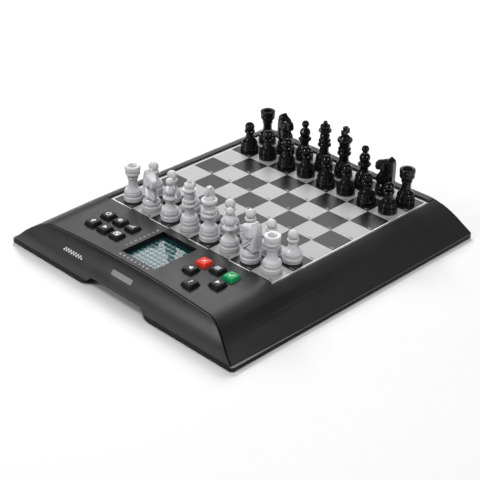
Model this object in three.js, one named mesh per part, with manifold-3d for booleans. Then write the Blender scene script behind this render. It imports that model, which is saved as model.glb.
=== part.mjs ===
// Electronic chess computer with a full set of chess pieces, in millimetres, +Z up.
//
// +X runs along the ranks to the player's right (a to h), +Y runs away from the player (rank 1 to rank 8).
// The origin is under the middle of the case, on the surface that the rubber feet stand on.

import * as THREE from "three";
import { mergeVertices } from "three/addons/utils/BufferGeometryUtils.js";
import Module from "manifold-3d";

const wasm = await Module();
wasm.setup();

// ---------------------------------------------------------------- driving dimensions

const SQUARE = 24.2; // one square of the board
const CASE_WIDTH = 272.8;
const CASE_DEPTH = 297.8;
const FOOT_DROP = 1.0; // how far the rubber feet stand below the case
const LIP_HEIGHT = 3.4; // upright edge of the bottom cover
const LIP_LEDGE = 0.7; // how far that edge stands out past the top cover
const BOARD_Z = 27.3; // playing surface
const PANEL_RISE = 1.9; // top cover above the playing surface
const WALL = 2.2; // top cover
const FLOOR = 2.2; // bottom cover
const GAP = 0.3; // between pieces that touch

const FLAT_HALF_WIDTH = 92; // where the flat top turns into the shoulder
const SHOULDER_RADIUS = 45;
const FRONT_DROOP = 1.7; // how far the top sinks from its middle to its shoulders at the front edge
const FASCIA_TOP_Y = -132.3; // the fascia leans back from the front lip to this line
const FASCIA_BULGE = 3.1; // height of the fascia's arc over its chord
const BACK_TOP_Y = 138.3; // the back leans forward from the back lip to this line

const BOARD_FRONT_Y = -65.5; // front edge of rank 1
const BOARD_MARGIN = 3.7; // recess outside the squares
const SENSOR_THICKNESS = 2.4;

const LCD = { x: 0, y: -98.3, width: 41.4, depth: 46.2, sink: 4.5, wall: 2, glass: 1, module: 2.6 };
const KEY = { foot: 11.4, top: 9.8, rise: 3, travel: 1.2, hole: 12, flange: 13.6, stem: 6 };
const KEY_PITCH = 15.5;
const KEYPAD_X = 56.9; // middle of each keypad, left and right of the display
const LEFT_ROWS = { y: -100.2, pitch: 17 };
const RIGHT_ROWS = { y: -101.8, pitch: 15.1 };

const RECESS = { top: 29, bottom: 37.5, flare: 41.5, height: 8.5, depth: 26, wall: 1.8 };
const BAY = { y: 45, length: 58, width: 47, wall: 1.6, ceiling: 19 };
const CELL = { radius: 7.1, length: 48.5, nub: 2.6, nubLength: 1.2, pitch: 15.2, z: 11.4 };
const DOOR = { thickness: 2, gap: 0.6 };
const FOOT = { radius: 6, pocket: 1.6, x: 104, front: -112, back: 116 };
const SCREW = { x: 118, rows: [-126, 12, 130], head: 3.6, bore: 1.7, boss: 5.4, height: 7.5 };
const JACK = { x: 88, z: 12, width: 10, height: 11, depth: 13, hole: 4.6 };
const JACK_NOSE = { radius: 4, length: 4.2, bore: 3.2, boreDepth: 12 };
const BOARD_PCB = { width: 186, front: -131, back: -72, thickness: 1.6, z: 17.9 };

const TURNED_SIDES = 14;

// ---------------------------------------------------------------- worked out from those

const caseBottom = FOOT_DROP;
const lipTop = caseBottom + LIP_HEIGHT;
const coverBottom = lipTop + GAP;
const panelZ = BOARD_Z + PANEL_RISE;
const panelInside = panelZ - WALL;
const coverHalfWidth = CASE_WIDTH / 2 - LIP_LEDGE;
const coverHalfDepth = CASE_DEPTH / 2 - LIP_LEDGE;
const boardSide = 8 * SQUARE;
const boardBackY = BOARD_FRONT_Y + boardSide;
const boardMiddleY = (BOARD_FRONT_Y + boardBackY) / 2;
const recessHalf = boardSide / 2 + BOARD_MARGIN;
const recessFloor = BOARD_Z - SENSOR_THICKNESS - GAP;
const glassTop = panelZ - LCD.sink;
const recessFrontY = -CASE_DEPTH / 2;
const recessBackY = recessFrontY + RECESS.depth;

// ---------------------------------------------------------------- solids

// Welds a geometry's shared corners, drops triangles with no area and turns its faces outwards.
function weld(geometry) {
  const bare = geometry.clone();
  for (const name of ["normal", "uv"]) bare.deleteAttribute(name);
  const welded = mergeVertices(bare, 1e-4);
  const position = welded.getAttribute("position");
  const corner = (i) => new THREE.Vector3().fromBufferAttribute(position, i);
  const faces = [];
  let volume = 0;
  for (let i = 0; i < welded.index.count; i += 3) {
    const [a, b, c] = [0, 1, 2].map((k) => welded.index.getX(i + k));
    if (a === b || b === c || c === a) continue;
    faces.push([a, b, c]);
    volume += corner(a).dot(corner(b).cross(corner(c)));
  }
  const outward = volume < 0 ? faces.map(([a, b, c]) => [a, c, b]) : faces;
  return new wasm.Manifold(
    new wasm.Mesh({
      numProp: 3,
      vertProperties: new Float32Array(position.array),
      triVerts: new Uint32Array(outward.flat()),
    }),
  );
}

function toGeometry(solid) {
  const mesh = solid.getMesh();
  const geometry = new THREE.BufferGeometry();
  geometry.setAttribute("position", new THREE.BufferAttribute(mesh.vertProperties, 3));
  geometry.setIndex(new THREE.BufferAttribute(mesh.triVerts, 1));
  geometry.computeVertexNormals();
  return geometry;
}

function box([x0, x1], [y0, y1], [z0, z1]) {
  const geometry = new THREE.BoxGeometry(x1 - x0, y1 - y0, z1 - z0);
  geometry.translate((x0 + x1) / 2, (y0 + y1) / 2, (z0 + z1) / 2);
  return weld(geometry);
}

const centredBox = (width, depth, [x, y], heights) =>
  box([x - width / 2, x + width / 2], [y - depth / 2, y + depth / 2], heights);

const DIRECTIONS = {
  X: [new THREE.Vector3(0, 1, 0), new THREE.Vector3(0, 0, 1), new THREE.Vector3(1, 0, 0)],
  Y: [new THREE.Vector3(-1, 0, 0), new THREE.Vector3(0, 0, 1), new THREE.Vector3(0, 1, 0)],
  Z: [new THREE.Vector3(1, 0, 0), new THREE.Vector3(0, 1, 0), new THREE.Vector3(0, 0, 1)],
};

// Extrudes an outline along an axis.
// Along X the outline is (y, z), along Y it is (-x, z), along Z it is (x, y).
function extrude(outline, axis, from, to) {
  const shape = new THREE.Shape(outline.map(([u, v]) => new THREE.Vector2(u, v)));
  const geometry = new THREE.ExtrudeGeometry(shape, { depth: to - from, bevelEnabled: false });
  const [u, v, along] = DIRECTIONS[axis];
  geometry.applyMatrix4(new THREE.Matrix4().makeBasis(u, v, along));
  geometry.translate(...along.clone().multiplyScalar(from).toArray());
  return weld(geometry);
}

// A round solid about an upright axis.
// Its profile is made of [radius, height] points, and starts and ends on the axis.
function turned(profile, sides = TURNED_SIDES) {
  const points = profile.map(([r, z]) => new THREE.Vector2(r, z));
  const geometry = new THREE.LatheGeometry(points, sides);
  geometry.rotateX(Math.PI / 2);
  return weld(geometry);
}

const disc = (radius, [x, y], [z0, z1], sides = 16) =>
  turned([[0, z0], [radius, z0], [radius, z1], [0, z1]], sides).translate([x, y, 0]);

// The same along Y, from y0 to y1.
const rod = (radius, [x, z], [y0, y1], sides = 16) =>
  disc(radius, [0, 0], [-y1, -y0], sides).rotate([90, 0, 0]).translate([x, 0, z]);

// The same along X, from x0 to x1.
const rodAlongX = (radius, [y, z], [x0, x1], sides = 12) =>
  disc(radius, [0, 0], [x0, x1], sides).rotate([0, 90, 0]).translate([0, y, z]);

function frustum(foot, top, [x, y], [z0, z1]) {
  const geometry = new THREE.BoxGeometry(foot, foot, z1 - z0);
  const position = geometry.getAttribute("position");
  for (let i = 0; i < position.count; i += 1) {
    if (position.getZ(i) < 0) continue;
    position.setXY(i, (position.getX(i) * top) / foot, (position.getY(i) * top) / foot);
  }
  geometry.translate(x, y, (z0 + z1) / 2);
  return weld(geometry);
}

function roundedRectangle(width, depth, radius, steps = 3) {
  const corners = [[1, -1, -90], [1, 1, 0], [-1, 1, 90], [-1, -1, 180]];
  return corners.flatMap(([sx, sy, start]) =>
    Array.from({ length: steps + 1 }, (_, i) => {
      const angle = THREE.MathUtils.degToRad(start + (90 * i) / steps);
      const x = sx * (width / 2 - radius) + radius * Math.cos(angle);
      const y = sy * (depth / 2 - radius) + radius * Math.sin(angle);
      return [x, y];
    }),
  );
}

const union = (solids) => solids.reduce((sum, solid) => sum.add(solid));
const cut = (solid, tools) => tools.reduce((rest, tool) => rest.subtract(tool), solid);

// ---------------------------------------------------------------- the case's outer form

// Where a line from a point outside a circle touches it: the angle of that point on the circle.
function tangentAngle([cx, cz], radius, [px, pz]) {
  const reach = Math.hypot(px - cx, pz - cz);
  return Math.atan2(pz - cz, px - cx) + Math.acos(radius / reach);
}

const SHOULDER_STEPS = 8;
const CROWN_STEPS = 4;
const shoulderCentre = [FLAT_HALF_WIDTH, panelZ - SHOULDER_RADIUS];
const slopeAngle = tangentAngle(shoulderCentre, SHOULDER_RADIUS, [coverHalfWidth, coverBottom]);

// Right half of the case's cross-section, from the middle of the top down to height bottom.
// inset moves it inwards by a wall's thickness, and droop sinks the shoulders below the middle.
function halfSection(inset, droop, bottom) {
  const points = [];
  for (let i = 0; i < CROWN_STEPS; i += 1) {
    const across = i / CROWN_STEPS;
    points.push([FLAT_HALF_WIDTH * across, panelZ - inset - droop * across * across]);
  }
  const [cx, cz] = [shoulderCentre[0], shoulderCentre[1] - droop];
  const radius = SHOULDER_RADIUS - inset;
  for (let i = 0; i <= SHOULDER_STEPS; i += 1) {
    const angle = Math.PI / 2 + ((slopeAngle - Math.PI / 2) * i) / SHOULDER_STEPS;
    points.push([cx + radius * Math.cos(angle), cz + radius * Math.sin(angle)]);
  }
  const [x, z] = points.at(-1);
  points.push([x + (z - bottom) * Math.tan(slopeAngle), bottom]);
  return points;
}

function section(inset, droop, bottom) {
  const right = halfSection(inset, droop, bottom);
  const left = right.slice(1).map(([x, z]) => [-x, z]);
  return [...right.toReversed(), ...left];
}

// The case's top, lofted between cross-sections:
// level over the board, sinking at the shoulders towards the front.
function loft(inset, bottom) {
  const levelFrom = BOARD_FRONT_Y - BOARD_MARGIN;
  const droopAt = (y) => (FRONT_DROOP * Math.max(0, levelFrom - y)) / (levelFrom - FASCIA_TOP_Y);
  const stations = [-CASE_DEPTH / 2 - 4, levelFrom, CASE_DEPTH / 2 + 4];
  const rings = stations.map((y) => section(inset, droopAt(y), bottom).map(([x, z]) => [x, y, z]));
  const count = rings[0].length;
  const index = [];
  for (let k = 0; k + 1 < rings.length; k += 1) {
    for (let i = 0; i < count; i += 1) {
      const [a, b] = [k * count + i, k * count + ((i + 1) % count)];
      index.push(a, b, b + count, a, b + count, a + count);
    }
  }
  const outline = rings[0].map(([x, , z]) => new THREE.Vector2(x, z));
  for (const [a, b, c] of THREE.ShapeUtils.triangulateShape(outline, [])) {
    const last = (rings.length - 1) * count;
    index.push(a, c, b, last + a, last + b, last + c);
  }
  const geometry = new THREE.BufferGeometry();
  geometry.setAttribute("position", new THREE.Float32BufferAttribute(rings.flat(2), 3));
  geometry.setIndex(index);
  return weld(geometry);
}

// The fascia's line in side view, as (y, z) points:
// an arc from the front lip to the top, run on a little past both.
function fasciaLine(shift) {
  const [y0, z0, y1, z1] = [-coverHalfDepth, coverBottom, FASCIA_TOP_Y, panelZ];
  const chord = Math.hypot(y1 - y0, z1 - z0);
  const radius = (chord * chord) / (8 * FASCIA_BULGE) + FASCIA_BULGE / 2;
  const half = Math.asin(chord / 2 / radius);
  const lean = Math.atan2(y1 - y0, z1 - z0);
  const steps = 6;
  const middle = [(y0 + y1) / 2, (z0 + z1) / 2];
  const inward = [Math.cos(lean), -Math.sin(lean)];
  const centre = middle.map((m, k) => m + inward[k] * (radius - FASCIA_BULGE));
  const points = [];
  for (let i = -1; i <= steps + 1; i += 1) {
    const angle = lean - half + (2 * half * i) / steps;
    points.push([centre[0] - radius * Math.cos(angle) + shift, centre[1] + radius * Math.sin(angle)]);
  }
  return points;
}

// Everything between the fascia, moved back by front, and the leaning back face, moved forward by back.
function frontToBack(front, back) {
  const lean = (coverHalfDepth - BACK_TOP_Y) / (panelZ - coverBottom);
  const backAt = (z) => coverHalfDepth - back - lean * (z - coverBottom);
  const [low, high] = [coverBottom - 8, panelZ + 8];
  const line = fasciaLine(front);
  const outline = [[line[0][0], low], [backAt(low), low], [backAt(high), high], [line.at(-1)[0], high]];
  return extrude([...outline, ...line.toReversed()], "X", -CASE_WIDTH, CASE_WIDTH);
}

// Outline of the finger recess in the front edge, as (x, z) points, grown by an offset.
function recessOutline(grow = 0) {
  const floor = caseBottom - 2;
  const ceiling = caseBottom + RECESS.height + grow;
  const radius = 4;
  const half = [
    [RECESS.flare + grow, floor],
    [RECESS.flare + grow, caseBottom + 0.2],
    [RECESS.bottom + grow + 1, caseBottom + 1.4],
  ];
  for (let i = 0; i <= 3; i += 1) {
    const angle = THREE.MathUtils.degToRad(25 + (65 * i) / 3);
    half.push([RECESS.top + grow + radius * Math.cos(angle), ceiling - radius + radius * Math.sin(angle)]);
  }
  const mirrored = half.map(([x, z]) => [-x, z]).toReversed();
  return [...half, ...mirrored];
}

const recessPrism = (grow, from, to) => extrude(recessOutline(grow), "Y", from, to);

// ---------------------------------------------------------------- covers

function topCover() {
  const outer = loft(0, coverBottom).intersect(frontToBack(0, 0));
  const inner = loft(WALL, coverBottom - 6).intersect(frontToBack(2.7, 2.4));
  const tray = centredBox(2 * recessHalf + 2 * WALL, 2 * recessHalf + 2 * WALL, [0, boardMiddleY], [
    recessFloor - 2,
    panelInside + 0.5,
  ]);
  const collar = centredBox(LCD.width + 2 * LCD.wall, LCD.depth + 2 * LCD.wall, [LCD.x, LCD.y], [
    glassTop + GAP,
    panelInside + 0.5,
  ]);
  const shell = outer.subtract(inner).add(tray.intersect(outer)).add(collar);
  const recessSide = 2 * recessHalf;
  const boardRecess = centredBox(recessSide, recessSide, [0, boardMiddleY], [recessFloor, panelZ + 5]);
  const lcdOpening = centredBox(LCD.width, LCD.depth, [LCD.x, LCD.y], [glassTop - 3, panelZ + 5]);
  const keyHoles = keys.map(({ at }) => centredBox(KEY.hole, KEY.hole, at, [recessFloor - 5, panelZ + 5]));
  const jackHole = rod(JACK.hole, [JACK.x, JACK.z], [coverHalfDepth - 20, coverHalfDepth + 5]);
  // The dark line that sets the fascia off from the top: a groove in the outer skin just behind the fascia.
  const slice = frontToBack(0.5, 0).subtract(frontToBack(1.4, -20));
  const groove = slice.subtract(loft(0.8, coverBottom - 20));
  const recess = recessPrism(0, -CASE_DEPTH, recessBackY);
  return cut(shell, [boardRecess, lcdOpening, ...keyHoles, jackHole, groove, recess]);
}

function bottomCover() {
  const outline = roundedRectangle(CASE_WIDTH, CASE_DEPTH, 3);
  const inside = roundedRectangle(CASE_WIDTH - 7.4, CASE_DEPTH - 7.4, 2);
  const block = extrude(outline, "Z", caseBottom, lipTop);
  const tray = block.subtract(extrude(inside, "Z", caseBottom + FLOOR, lipTop + 5));
  const liner = recessPrism(RECESS.wall, recessFrontY + 5.9, recessBackY + RECESS.wall)
    .intersect(centredBox(CASE_WIDTH, CASE_DEPTH, [0, 0], [caseBottom, BOARD_Z]));
  const bay = centredBox(BAY.length + 2 * BAY.wall, BAY.width + 2 * BAY.wall, [0, BAY.y], [
    caseBottom,
    BAY.ceiling + BAY.wall,
  ]);
  const inFloor = caseBottom + FLOOR - 0.5;
  const pads = footPlaces.map((at) => disc(FOOT.radius + 2, at, [inFloor, caseBottom + FLOOR + 1.6]));
  const bosses = screwPlaces.map((at) => disc(SCREW.boss, at, [inFloor, caseBottom + SCREW.height], 12));
  const posts = [-1, 1].flatMap((side) =>
    [-86, -122].map((y) => disc(3, [side * 84, y], [inFloor, BOARD_PCB.z - GAP], 8)),
  );
  const jackRest = centredBox(JACK.width, JACK.depth - 2, [JACK.x, jackFace - JACK.depth / 2], [
    inFloor,
    JACK.z - JACK.height / 2 - GAP,
  ]);
  const body = union([tray, liner, bay, ...pads, ...bosses, ...posts, jackRest]);
  const cuts = [
    recessPrism(0, recessFrontY - 10, recessBackY),
    centredBox(BAY.length, BAY.width, [0, BAY.y], [caseBottom - 5, BAY.ceiling]),
    ...footPlaces.map((at) => disc(FOOT.radius + GAP, at, [caseBottom - 5, caseBottom + FOOT.pocket])),
    ...screwPlaces.map((at) => disc(SCREW.head, at, [caseBottom - 5, caseBottom + 4.5], 12)),
    ...screwPlaces.map((at) => disc(SCREW.bore, at, [caseBottom, caseBottom + SCREW.height + 5], 8)),
    ...soundHoles.map((at) => disc(1.1, at, [caseBottom - 5, caseBottom + 5], 8)),
  ];
  return cut(body, cuts);
}

const footPlaces = [
  [-FOOT.x, FOOT.front],
  [FOOT.x, FOOT.front],
  [-FOOT.x, FOOT.back],
  [FOOT.x, FOOT.back],
];
const screwPlaces = SCREW.rows.flatMap((y) => [[-SCREW.x, y], [SCREW.x, y]]);
const buzzerAt = [-58, -101];
const soundHoles = [buzzerAt, ...[0, 60, 120, 180, 240, 300].map((degrees) => {
  const angle = THREE.MathUtils.degToRad(degrees);
  return [buzzerAt[0] + 5 * Math.cos(angle), buzzerAt[1] + 5 * Math.sin(angle)];
})];

// ---------------------------------------------------------------- battery bay

const bayFront = BAY.y - BAY.width / 2;
const bayBack = BAY.y + BAY.width / 2;

// A flat plate that turns down about a line 1 mm in from its back edge, in the middle of its thickness.
function batteryDoor() {
  const halfLength = BAY.length / 2 - DOOR.gap;
  const plate = box([-halfLength, halfLength], [bayFront + DOOR.gap, bayBack - DOOR.gap], [
    caseBottom,
    caseBottom + DOOR.thickness,
  ]);
  const grip = [-3, 0, 3].map((dy) =>
    box([-7, 7], [bayFront + 9 + dy - 0.6, bayFront + 9 + dy + 0.6], [caseBottom - 1, caseBottom + 0.6]),
  );
  return cut(plate, grip);
}

// One cell along X: the positive nub is at +X when side is 1.
function batteryCell(row, side) {
  const at = [BAY.y + row * CELL.pitch, CELL.z];
  const half = CELL.length / 2;
  const can = rodAlongX(CELL.radius, at, [-half, half]);
  const nub = rodAlongX(CELL.nub, at, [half - 0.5, half + CELL.nubLength], 8);
  const cell = can.add(nub);
  return side > 0 ? cell : cell.mirror([1, 0, 0]);
}

// ---------------------------------------------------------------- electronics

const sensorBoard = () => centredBox(2 * recessHalf - 2 * GAP, 2 * recessHalf - 2 * GAP, [0, boardMiddleY], [
  BOARD_Z - SENSOR_THICKNESS,
  BOARD_Z,
]);

const lcdLayer = (from, to) => centredBox(LCD.width + 3, LCD.depth + 3, [LCD.x, LCD.y], [from, to]);
const lcdWindow = () => lcdLayer(glassTop - LCD.glass, glassTop);

const moduleTop = glassTop - LCD.glass - GAP;
const lcdModule = () => lcdLayer(moduleTop - LCD.module, moduleTop);

const pcbTop = BOARD_PCB.z + BOARD_PCB.thickness;
const matBottom = pcbTop + 0.2;

function mainBoard() {
  const half = BOARD_PCB.width / 2;
  const plate = box([-half, half], [BOARD_PCB.front, BOARD_PCB.back], [BOARD_PCB.z, pcbTop]);
  const buzzer = disc(11, buzzerAt, [BOARD_PCB.z - 4, BOARD_PCB.z + 0.5]);
  const processor = centredBox(14, 14, [30, -100], [BOARD_PCB.z - 1.6, BOARD_PCB.z + 0.5]);
  return union([plate, buzzer, processor]);
}

const keyLift = 5.2; // underside of a key's stem below the panel's top
const keyBottom = panelZ - keyLift;

// A silicone sheet with a dome under each key: two pads and a strip that joins them in front of the display.
function keypadMat() {
  const sheet = [matBottom, matBottom + 0.8];
  const pad = (x) => centredBox(48, 50, [x, -101.5], sheet);
  const strip = box([-KEYPAD_X, KEYPAD_X], [-130, -124.5], sheet);
  const domes = keys.map(({ at }) => frustum(7, 5, at, [matBottom + 0.4, keyBottom - KEY.travel - GAP]));
  return union([pad(-KEYPAD_X), pad(KEYPAD_X), strip, ...domes]);
}

const jackLevel = (JACK.z - coverBottom) / (panelZ - coverBottom);
const jackWallY = coverHalfDepth - (coverHalfDepth - BACK_TOP_Y) * jackLevel;
const jackFace = jackWallY - 5.2;

function powerJack() {
  const body = centredBox(JACK.width, JACK.depth, [JACK.x, jackFace - JACK.depth / 2], [
    JACK.z - JACK.height / 2,
    JACK.z + JACK.height / 2,
  ]);
  const mouth = jackFace + JACK_NOSE.length;
  const nose = rod(JACK_NOSE.radius, [JACK.x, JACK.z], [jackFace - 1, mouth]);
  const socket = rod(JACK_NOSE.bore, [JACK.x, JACK.z], [mouth - JACK_NOSE.boreDepth, mouth + 5]);
  return body.add(nose).subtract(socket);
}

const rubberFoot = (at) => disc(FOOT.radius, at, [0, caseBottom + FOOT.pocket - GAP]);

// ---------------------------------------------------------------- keys

const keyPlace = (side, rows, column, row) => [
  side * KEYPAD_X + column * KEY_PITCH,
  rows.y + row * rows.pitch,
];
const left = (column, row) => keyPlace(-1, LEFT_ROWS, column, row);
const right = (column, row) => keyPlace(1, RIGHT_ROWS, column, row);

const BLACK_KEY = "#1b1b1c";
const keys = [
  { name: "key_power", at: left(-1, 0.5), colour: BLACK_KEY },
  { name: "key_hint", at: left(0, 0.5), colour: BLACK_KEY },
  { name: "key_level", at: left(1, 0.5), colour: BLACK_KEY },
  { name: "key_light", at: left(-1, -0.5), colour: BLACK_KEY },
  { name: "key_play", at: left(0, -0.5), colour: BLACK_KEY },
  { name: "key_new_game", at: left(1, -0.5), colour: BLACK_KEY },
  { name: "key_clear", at: right(-1, 1), colour: "#ef3d2c" },
  { name: "key_menu", at: right(0, 1), colour: BLACK_KEY },
  { name: "key_enter", at: right(1, 1), colour: "#06a651" },
  { name: "key_arrow_left", at: right(-1, 0), colour: BLACK_KEY },
  { name: "key_arrow_right", at: right(1, 0), colour: BLACK_KEY },
  { name: "key_help", at: right(0, -1), colour: BLACK_KEY },
];

function keyCap(at) {
  const shoulder = panelZ - 1.2;
  const cap = frustum(KEY.foot, KEY.top, at, [shoulder, panelZ + KEY.rise]);
  const skirt = centredBox(KEY.foot, KEY.foot, at, [panelInside - 2, shoulder + 0.1]);
  const flange = centredBox(KEY.flange, KEY.flange, at, [panelInside - 2.2, panelInside - 1.2]);
  const stem = centredBox(KEY.stem, KEY.stem, at, [keyBottom, panelInside - 2]);
  return union([cap, skirt, flange, stem]);
}

// ---------------------------------------------------------------- chess pieces

// Points up a ball's side, as [radius, height], from one latitude in degrees to another.
function ball(radius, centre, from, to = 90, steps = 4) {
  return Array.from({ length: steps + 1 }, (_, i) => {
    const angle = THREE.MathUtils.degToRad(from + ((to - from) * i) / steps);
    const atPole = to === 90 && i === steps;
    return [atPole ? 0 : radius * Math.cos(angle), centre + radius * Math.sin(angle)];
  });
}

// Every piece stands on the same plinth and drum.
const PLINTH = [[0, 0], [8.5, 0], [8.5, 4.6], [7.8, 5.2], [7.8, 8.4]];
const PAWN = [...PLINTH, [5, 11.2], [3.6, 17.4], [4.9, 19.5], [3.6, 20.8], ...ball(4.5, 24, -40)];
const ROOK = [
  ...PLINTH, [5.2, 12], [4.2, 19.6], [4.7, 22.1], [6.6, 26], [6.1, 28.1], [7, 29.4], [6.9, 33.2],
  [3.4, 33.2], [2.7, 29.6], [0, 29.6],
];
const BISHOP = [
  ...PLINTH, [5, 12], [3.7, 18.4], [6, 20.3], [3.7, 22.7], ...ball(5, 26.7, -30, 60, 3),
  ...ball(3.5, 35.2, -50),
];
const QUEEN = [
  ...PLINTH, [5.2, 13.6], [4.2, 20.8], [6.2, 22.8], [4.9, 25.2], [5.6, 27], [4.4, 28.9], [4.6, 32.6],
  [3.9, 34.8], [6, 36.6], [6, 37.8], [3.8, 38.8], [4.5, 41.2], [1.9, 43.6], ...ball(2.1, 44.7, -20, 90, 2),
];
const KING = [
  ...PLINTH, [5.4, 13.6], [4.3, 20.8], [6.3, 22.8], [5.1, 25.2], [5.8, 27], [4.7, 28.9], [5.1, 32.2], [7, 35],
  [6.9, 37.3], [5, 37.7], [2.8, 40.8], [0, 41.4],
];
const KNIGHT_FOOT = [...PLINTH, [6.4, 11], [0, 11]];

// A knight's head looking along +X: its side view is (x, z), its plan (x, y) and its front view (y, z).
// The side view runs from the chest over the throat, muzzle, brow, ears and crest to the back.
const KNIGHT_SIDE = [
  [6.4, 9], [8.6, 13], [4.4, 22.2], [7.6, 23], [9.2, 25.6], [8.8, 30],
  [0, 33.2], [-3.4, 36.1], [-5.2, 36.1], [-7.6, 33.2], [-8.4, 29], [-8.3, 15], [-7.4, 9],
];
const KNIGHT_PLAN = [[-9, 4.2], [-4, 6.2], [1, 6.2], [9.6, 2], [9.6, -2], [1, -6.2], [-4, -6.2], [-9, -4.2]];
const KNIGHT_FRONT = [[6.2, 8], [3.4, 40], [-3.4, 40], [-6.2, 8]];

function knight() {
  const head = extrude(KNIGHT_SIDE, "Y", -7, 7)
    .mirror([1, 0, 0])
    .intersect(extrude(KNIGHT_PLAN, "Z", 8, 40))
    .intersect(extrude(KNIGHT_FRONT, "X", -10, 10));
  return turned(KNIGHT_FOOT).add(head);
}

// The king's finial is an upright cross, 3.6 thick, that flares towards its ends.
const HALF_CROSS = [[1.9, 40.6], [1.6, 42.5], [4, 41.5], [4.2, 46.6], [1.6, 45.3], [2.3, 48.8]];
const CROSS = [...HALF_CROSS, ...HALF_CROSS.toReversed().map(([y, z]) => [-y, z])];

const pieceShapes = {
  pawn: () => turned(PAWN),
  rook: () => turned(ROOK),
  bishop: () => turned(BISHOP),
  queen: () => turned(QUEEN),
  king: () => turned(KING).add(extrude(CROSS, "X", -1.8, 1.8)),
  knight,
};

const FILES = "abcdefgh";
const BACK_RANK = ["rook", "knight", "bishop", "queen", "king", "bishop", "knight", "rook"];
const KNIGHT_TURNS = { b1: -22, g1: 190, b8: -14, g8: 195 }; // degrees, roughly inwards
const PIECE_GAP = 0.1; // between a piece and the board under it

const squareCentre = (file, rank) => [(file - 3.5) * SQUARE, BOARD_FRONT_Y + (rank - 0.5) * SQUARE];

function chessSet(side, colour, homeRank, pawnRank) {
  const men = BACK_RANK.map((kind, file) => ({ kind, file, rank: homeRank }));
  const pawns = BACK_RANK.map((_, file) => ({ kind: "pawn", file, rank: pawnRank }));
  return [...men, ...pawns].map(({ kind, file, rank }) => {
    const square = `${FILES[file]}${rank}`;
    const turn = THREE.MathUtils.degToRad(KNIGHT_TURNS[square] ?? 0);
    return { name: `${side}_${kind}_${square}`, kind, colour, at: squareCentre(file, rank), turn };
  });
}

// ---------------------------------------------------------------- assembly

const chessComputer = new THREE.Group();

function material(color, roughness, metalness = 0, opacity = 1) {
  return new THREE.MeshStandardMaterial({ color, roughness, metalness, opacity, transparent: opacity < 1 });
}

function addPart(parent, name, solid, look) {
  const mesh = new THREE.Mesh(toGeometry(solid), look);
  mesh.name = name;
  parent.add(mesh);
  return mesh;
}

addPart(chessComputer, "top_cover", topCover(), material("#3a3a3c", 0.5));
addPart(chessComputer, "bottom_cover", bottomCover(), material("#161617", 0.55));
addPart(chessComputer, "sensor_board", sensorBoard(), material("#8c8c8e", 0.35));
addPart(chessComputer, "lcd_window", lcdWindow(), material("#cfe0e0", 0.05, 0, 0.35));
addPart(chessComputer, "lcd_module", lcdModule(), material("#a9bcc0", 0.3));
addPart(chessComputer, "main_board", mainBoard(), material("#1f5c38", 0.6));
addPart(chessComputer, "keypad_mat", keypadMat(), material("#c9c9c4", 0.8));
addPart(chessComputer, "power_jack", powerJack(), material("#101011", 0.4));
addPart(chessComputer, "battery_door", batteryDoor(), material("#18181a", 0.55));

[-1, 0, 1].forEach((row, i) => {
  const cell = batteryCell(row, i % 2 === 0 ? 1 : -1);
  addPart(chessComputer, `battery_cell_${i + 1}`, cell, material("#9a7b3c", 0.35, 0.6));
});

const footNames = ["foot_front_left", "foot_front_right", "foot_back_left", "foot_back_right"];
footPlaces.forEach((at, i) => addPart(chessComputer, footNames[i], rubberFoot(at), material("#0d0d0d", 0.9)));

for (const { name, at, colour } of keys) {
  addPart(chessComputer, name, keyCap(at), material(colour, 0.45));
}

const setsOfMen = [...chessSet("white", "#c9c6ca", 1, 2), ...chessSet("black", "#141415", 8, 7)];
for (const { name, kind, colour, at, turn } of setsOfMen) {
  const man = addPart(chessComputer, name, pieceShapes[kind](), material(colour, 0.25));
  man.position.set(at[0], at[1], BOARD_Z + PIECE_GAP);
  man.rotation.z = turn;
}

export default chessComputer;
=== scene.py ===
"""The looks of the electronic chess computer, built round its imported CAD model.

Shapes are worked out in millimetres, as in the CAD, and become metres when a piece is placed.
"""

import math

import bmesh
import bpy
import numpy as np
from mathutils import Matrix, Vector


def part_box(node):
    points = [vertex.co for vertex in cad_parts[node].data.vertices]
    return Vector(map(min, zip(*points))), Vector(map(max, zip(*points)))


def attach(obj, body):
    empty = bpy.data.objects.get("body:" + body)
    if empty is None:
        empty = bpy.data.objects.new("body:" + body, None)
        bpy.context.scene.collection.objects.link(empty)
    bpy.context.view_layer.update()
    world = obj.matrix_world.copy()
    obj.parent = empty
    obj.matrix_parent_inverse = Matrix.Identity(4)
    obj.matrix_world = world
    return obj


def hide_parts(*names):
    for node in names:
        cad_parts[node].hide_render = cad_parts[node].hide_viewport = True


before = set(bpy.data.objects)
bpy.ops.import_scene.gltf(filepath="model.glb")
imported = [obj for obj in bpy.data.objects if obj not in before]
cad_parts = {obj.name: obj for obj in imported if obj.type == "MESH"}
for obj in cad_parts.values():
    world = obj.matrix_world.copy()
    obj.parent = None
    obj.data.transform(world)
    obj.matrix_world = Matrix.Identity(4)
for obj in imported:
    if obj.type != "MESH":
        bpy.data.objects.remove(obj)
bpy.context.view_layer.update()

MM = 0.001


def box_mm(node):
    """Lowest and highest corner of a CAD node, in millimetres."""
    low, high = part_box(node)
    return low / MM, high / MM


# ---- dimensions

case_low, case_high = box_mm("bottom_cover")
cover_low, cover_high = box_mm("top_cover")
film_low, film_high = box_mm("sensor_board")
window_low, window_high = box_mm("lcd_window")
module_low, module_high = box_mm("lcd_module")

GAP = 0.3  # between pieces that touch
WALL = 2.2  # top cover
FLOOR = 2.2  # bottom cover
FASCIA_WALL = 2.7  # measured along Y, as is the back wall
BACK_WALL = 2.4
LIP = 3.7  # the bottom cover's side wall
JACK_HOLE = 4.6  # radius in the back wall
OVER = 5  # how far a cutting tool runs past the surface it cuts
BOARD_MARGIN = 3.7  # recess outside the squares

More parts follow.
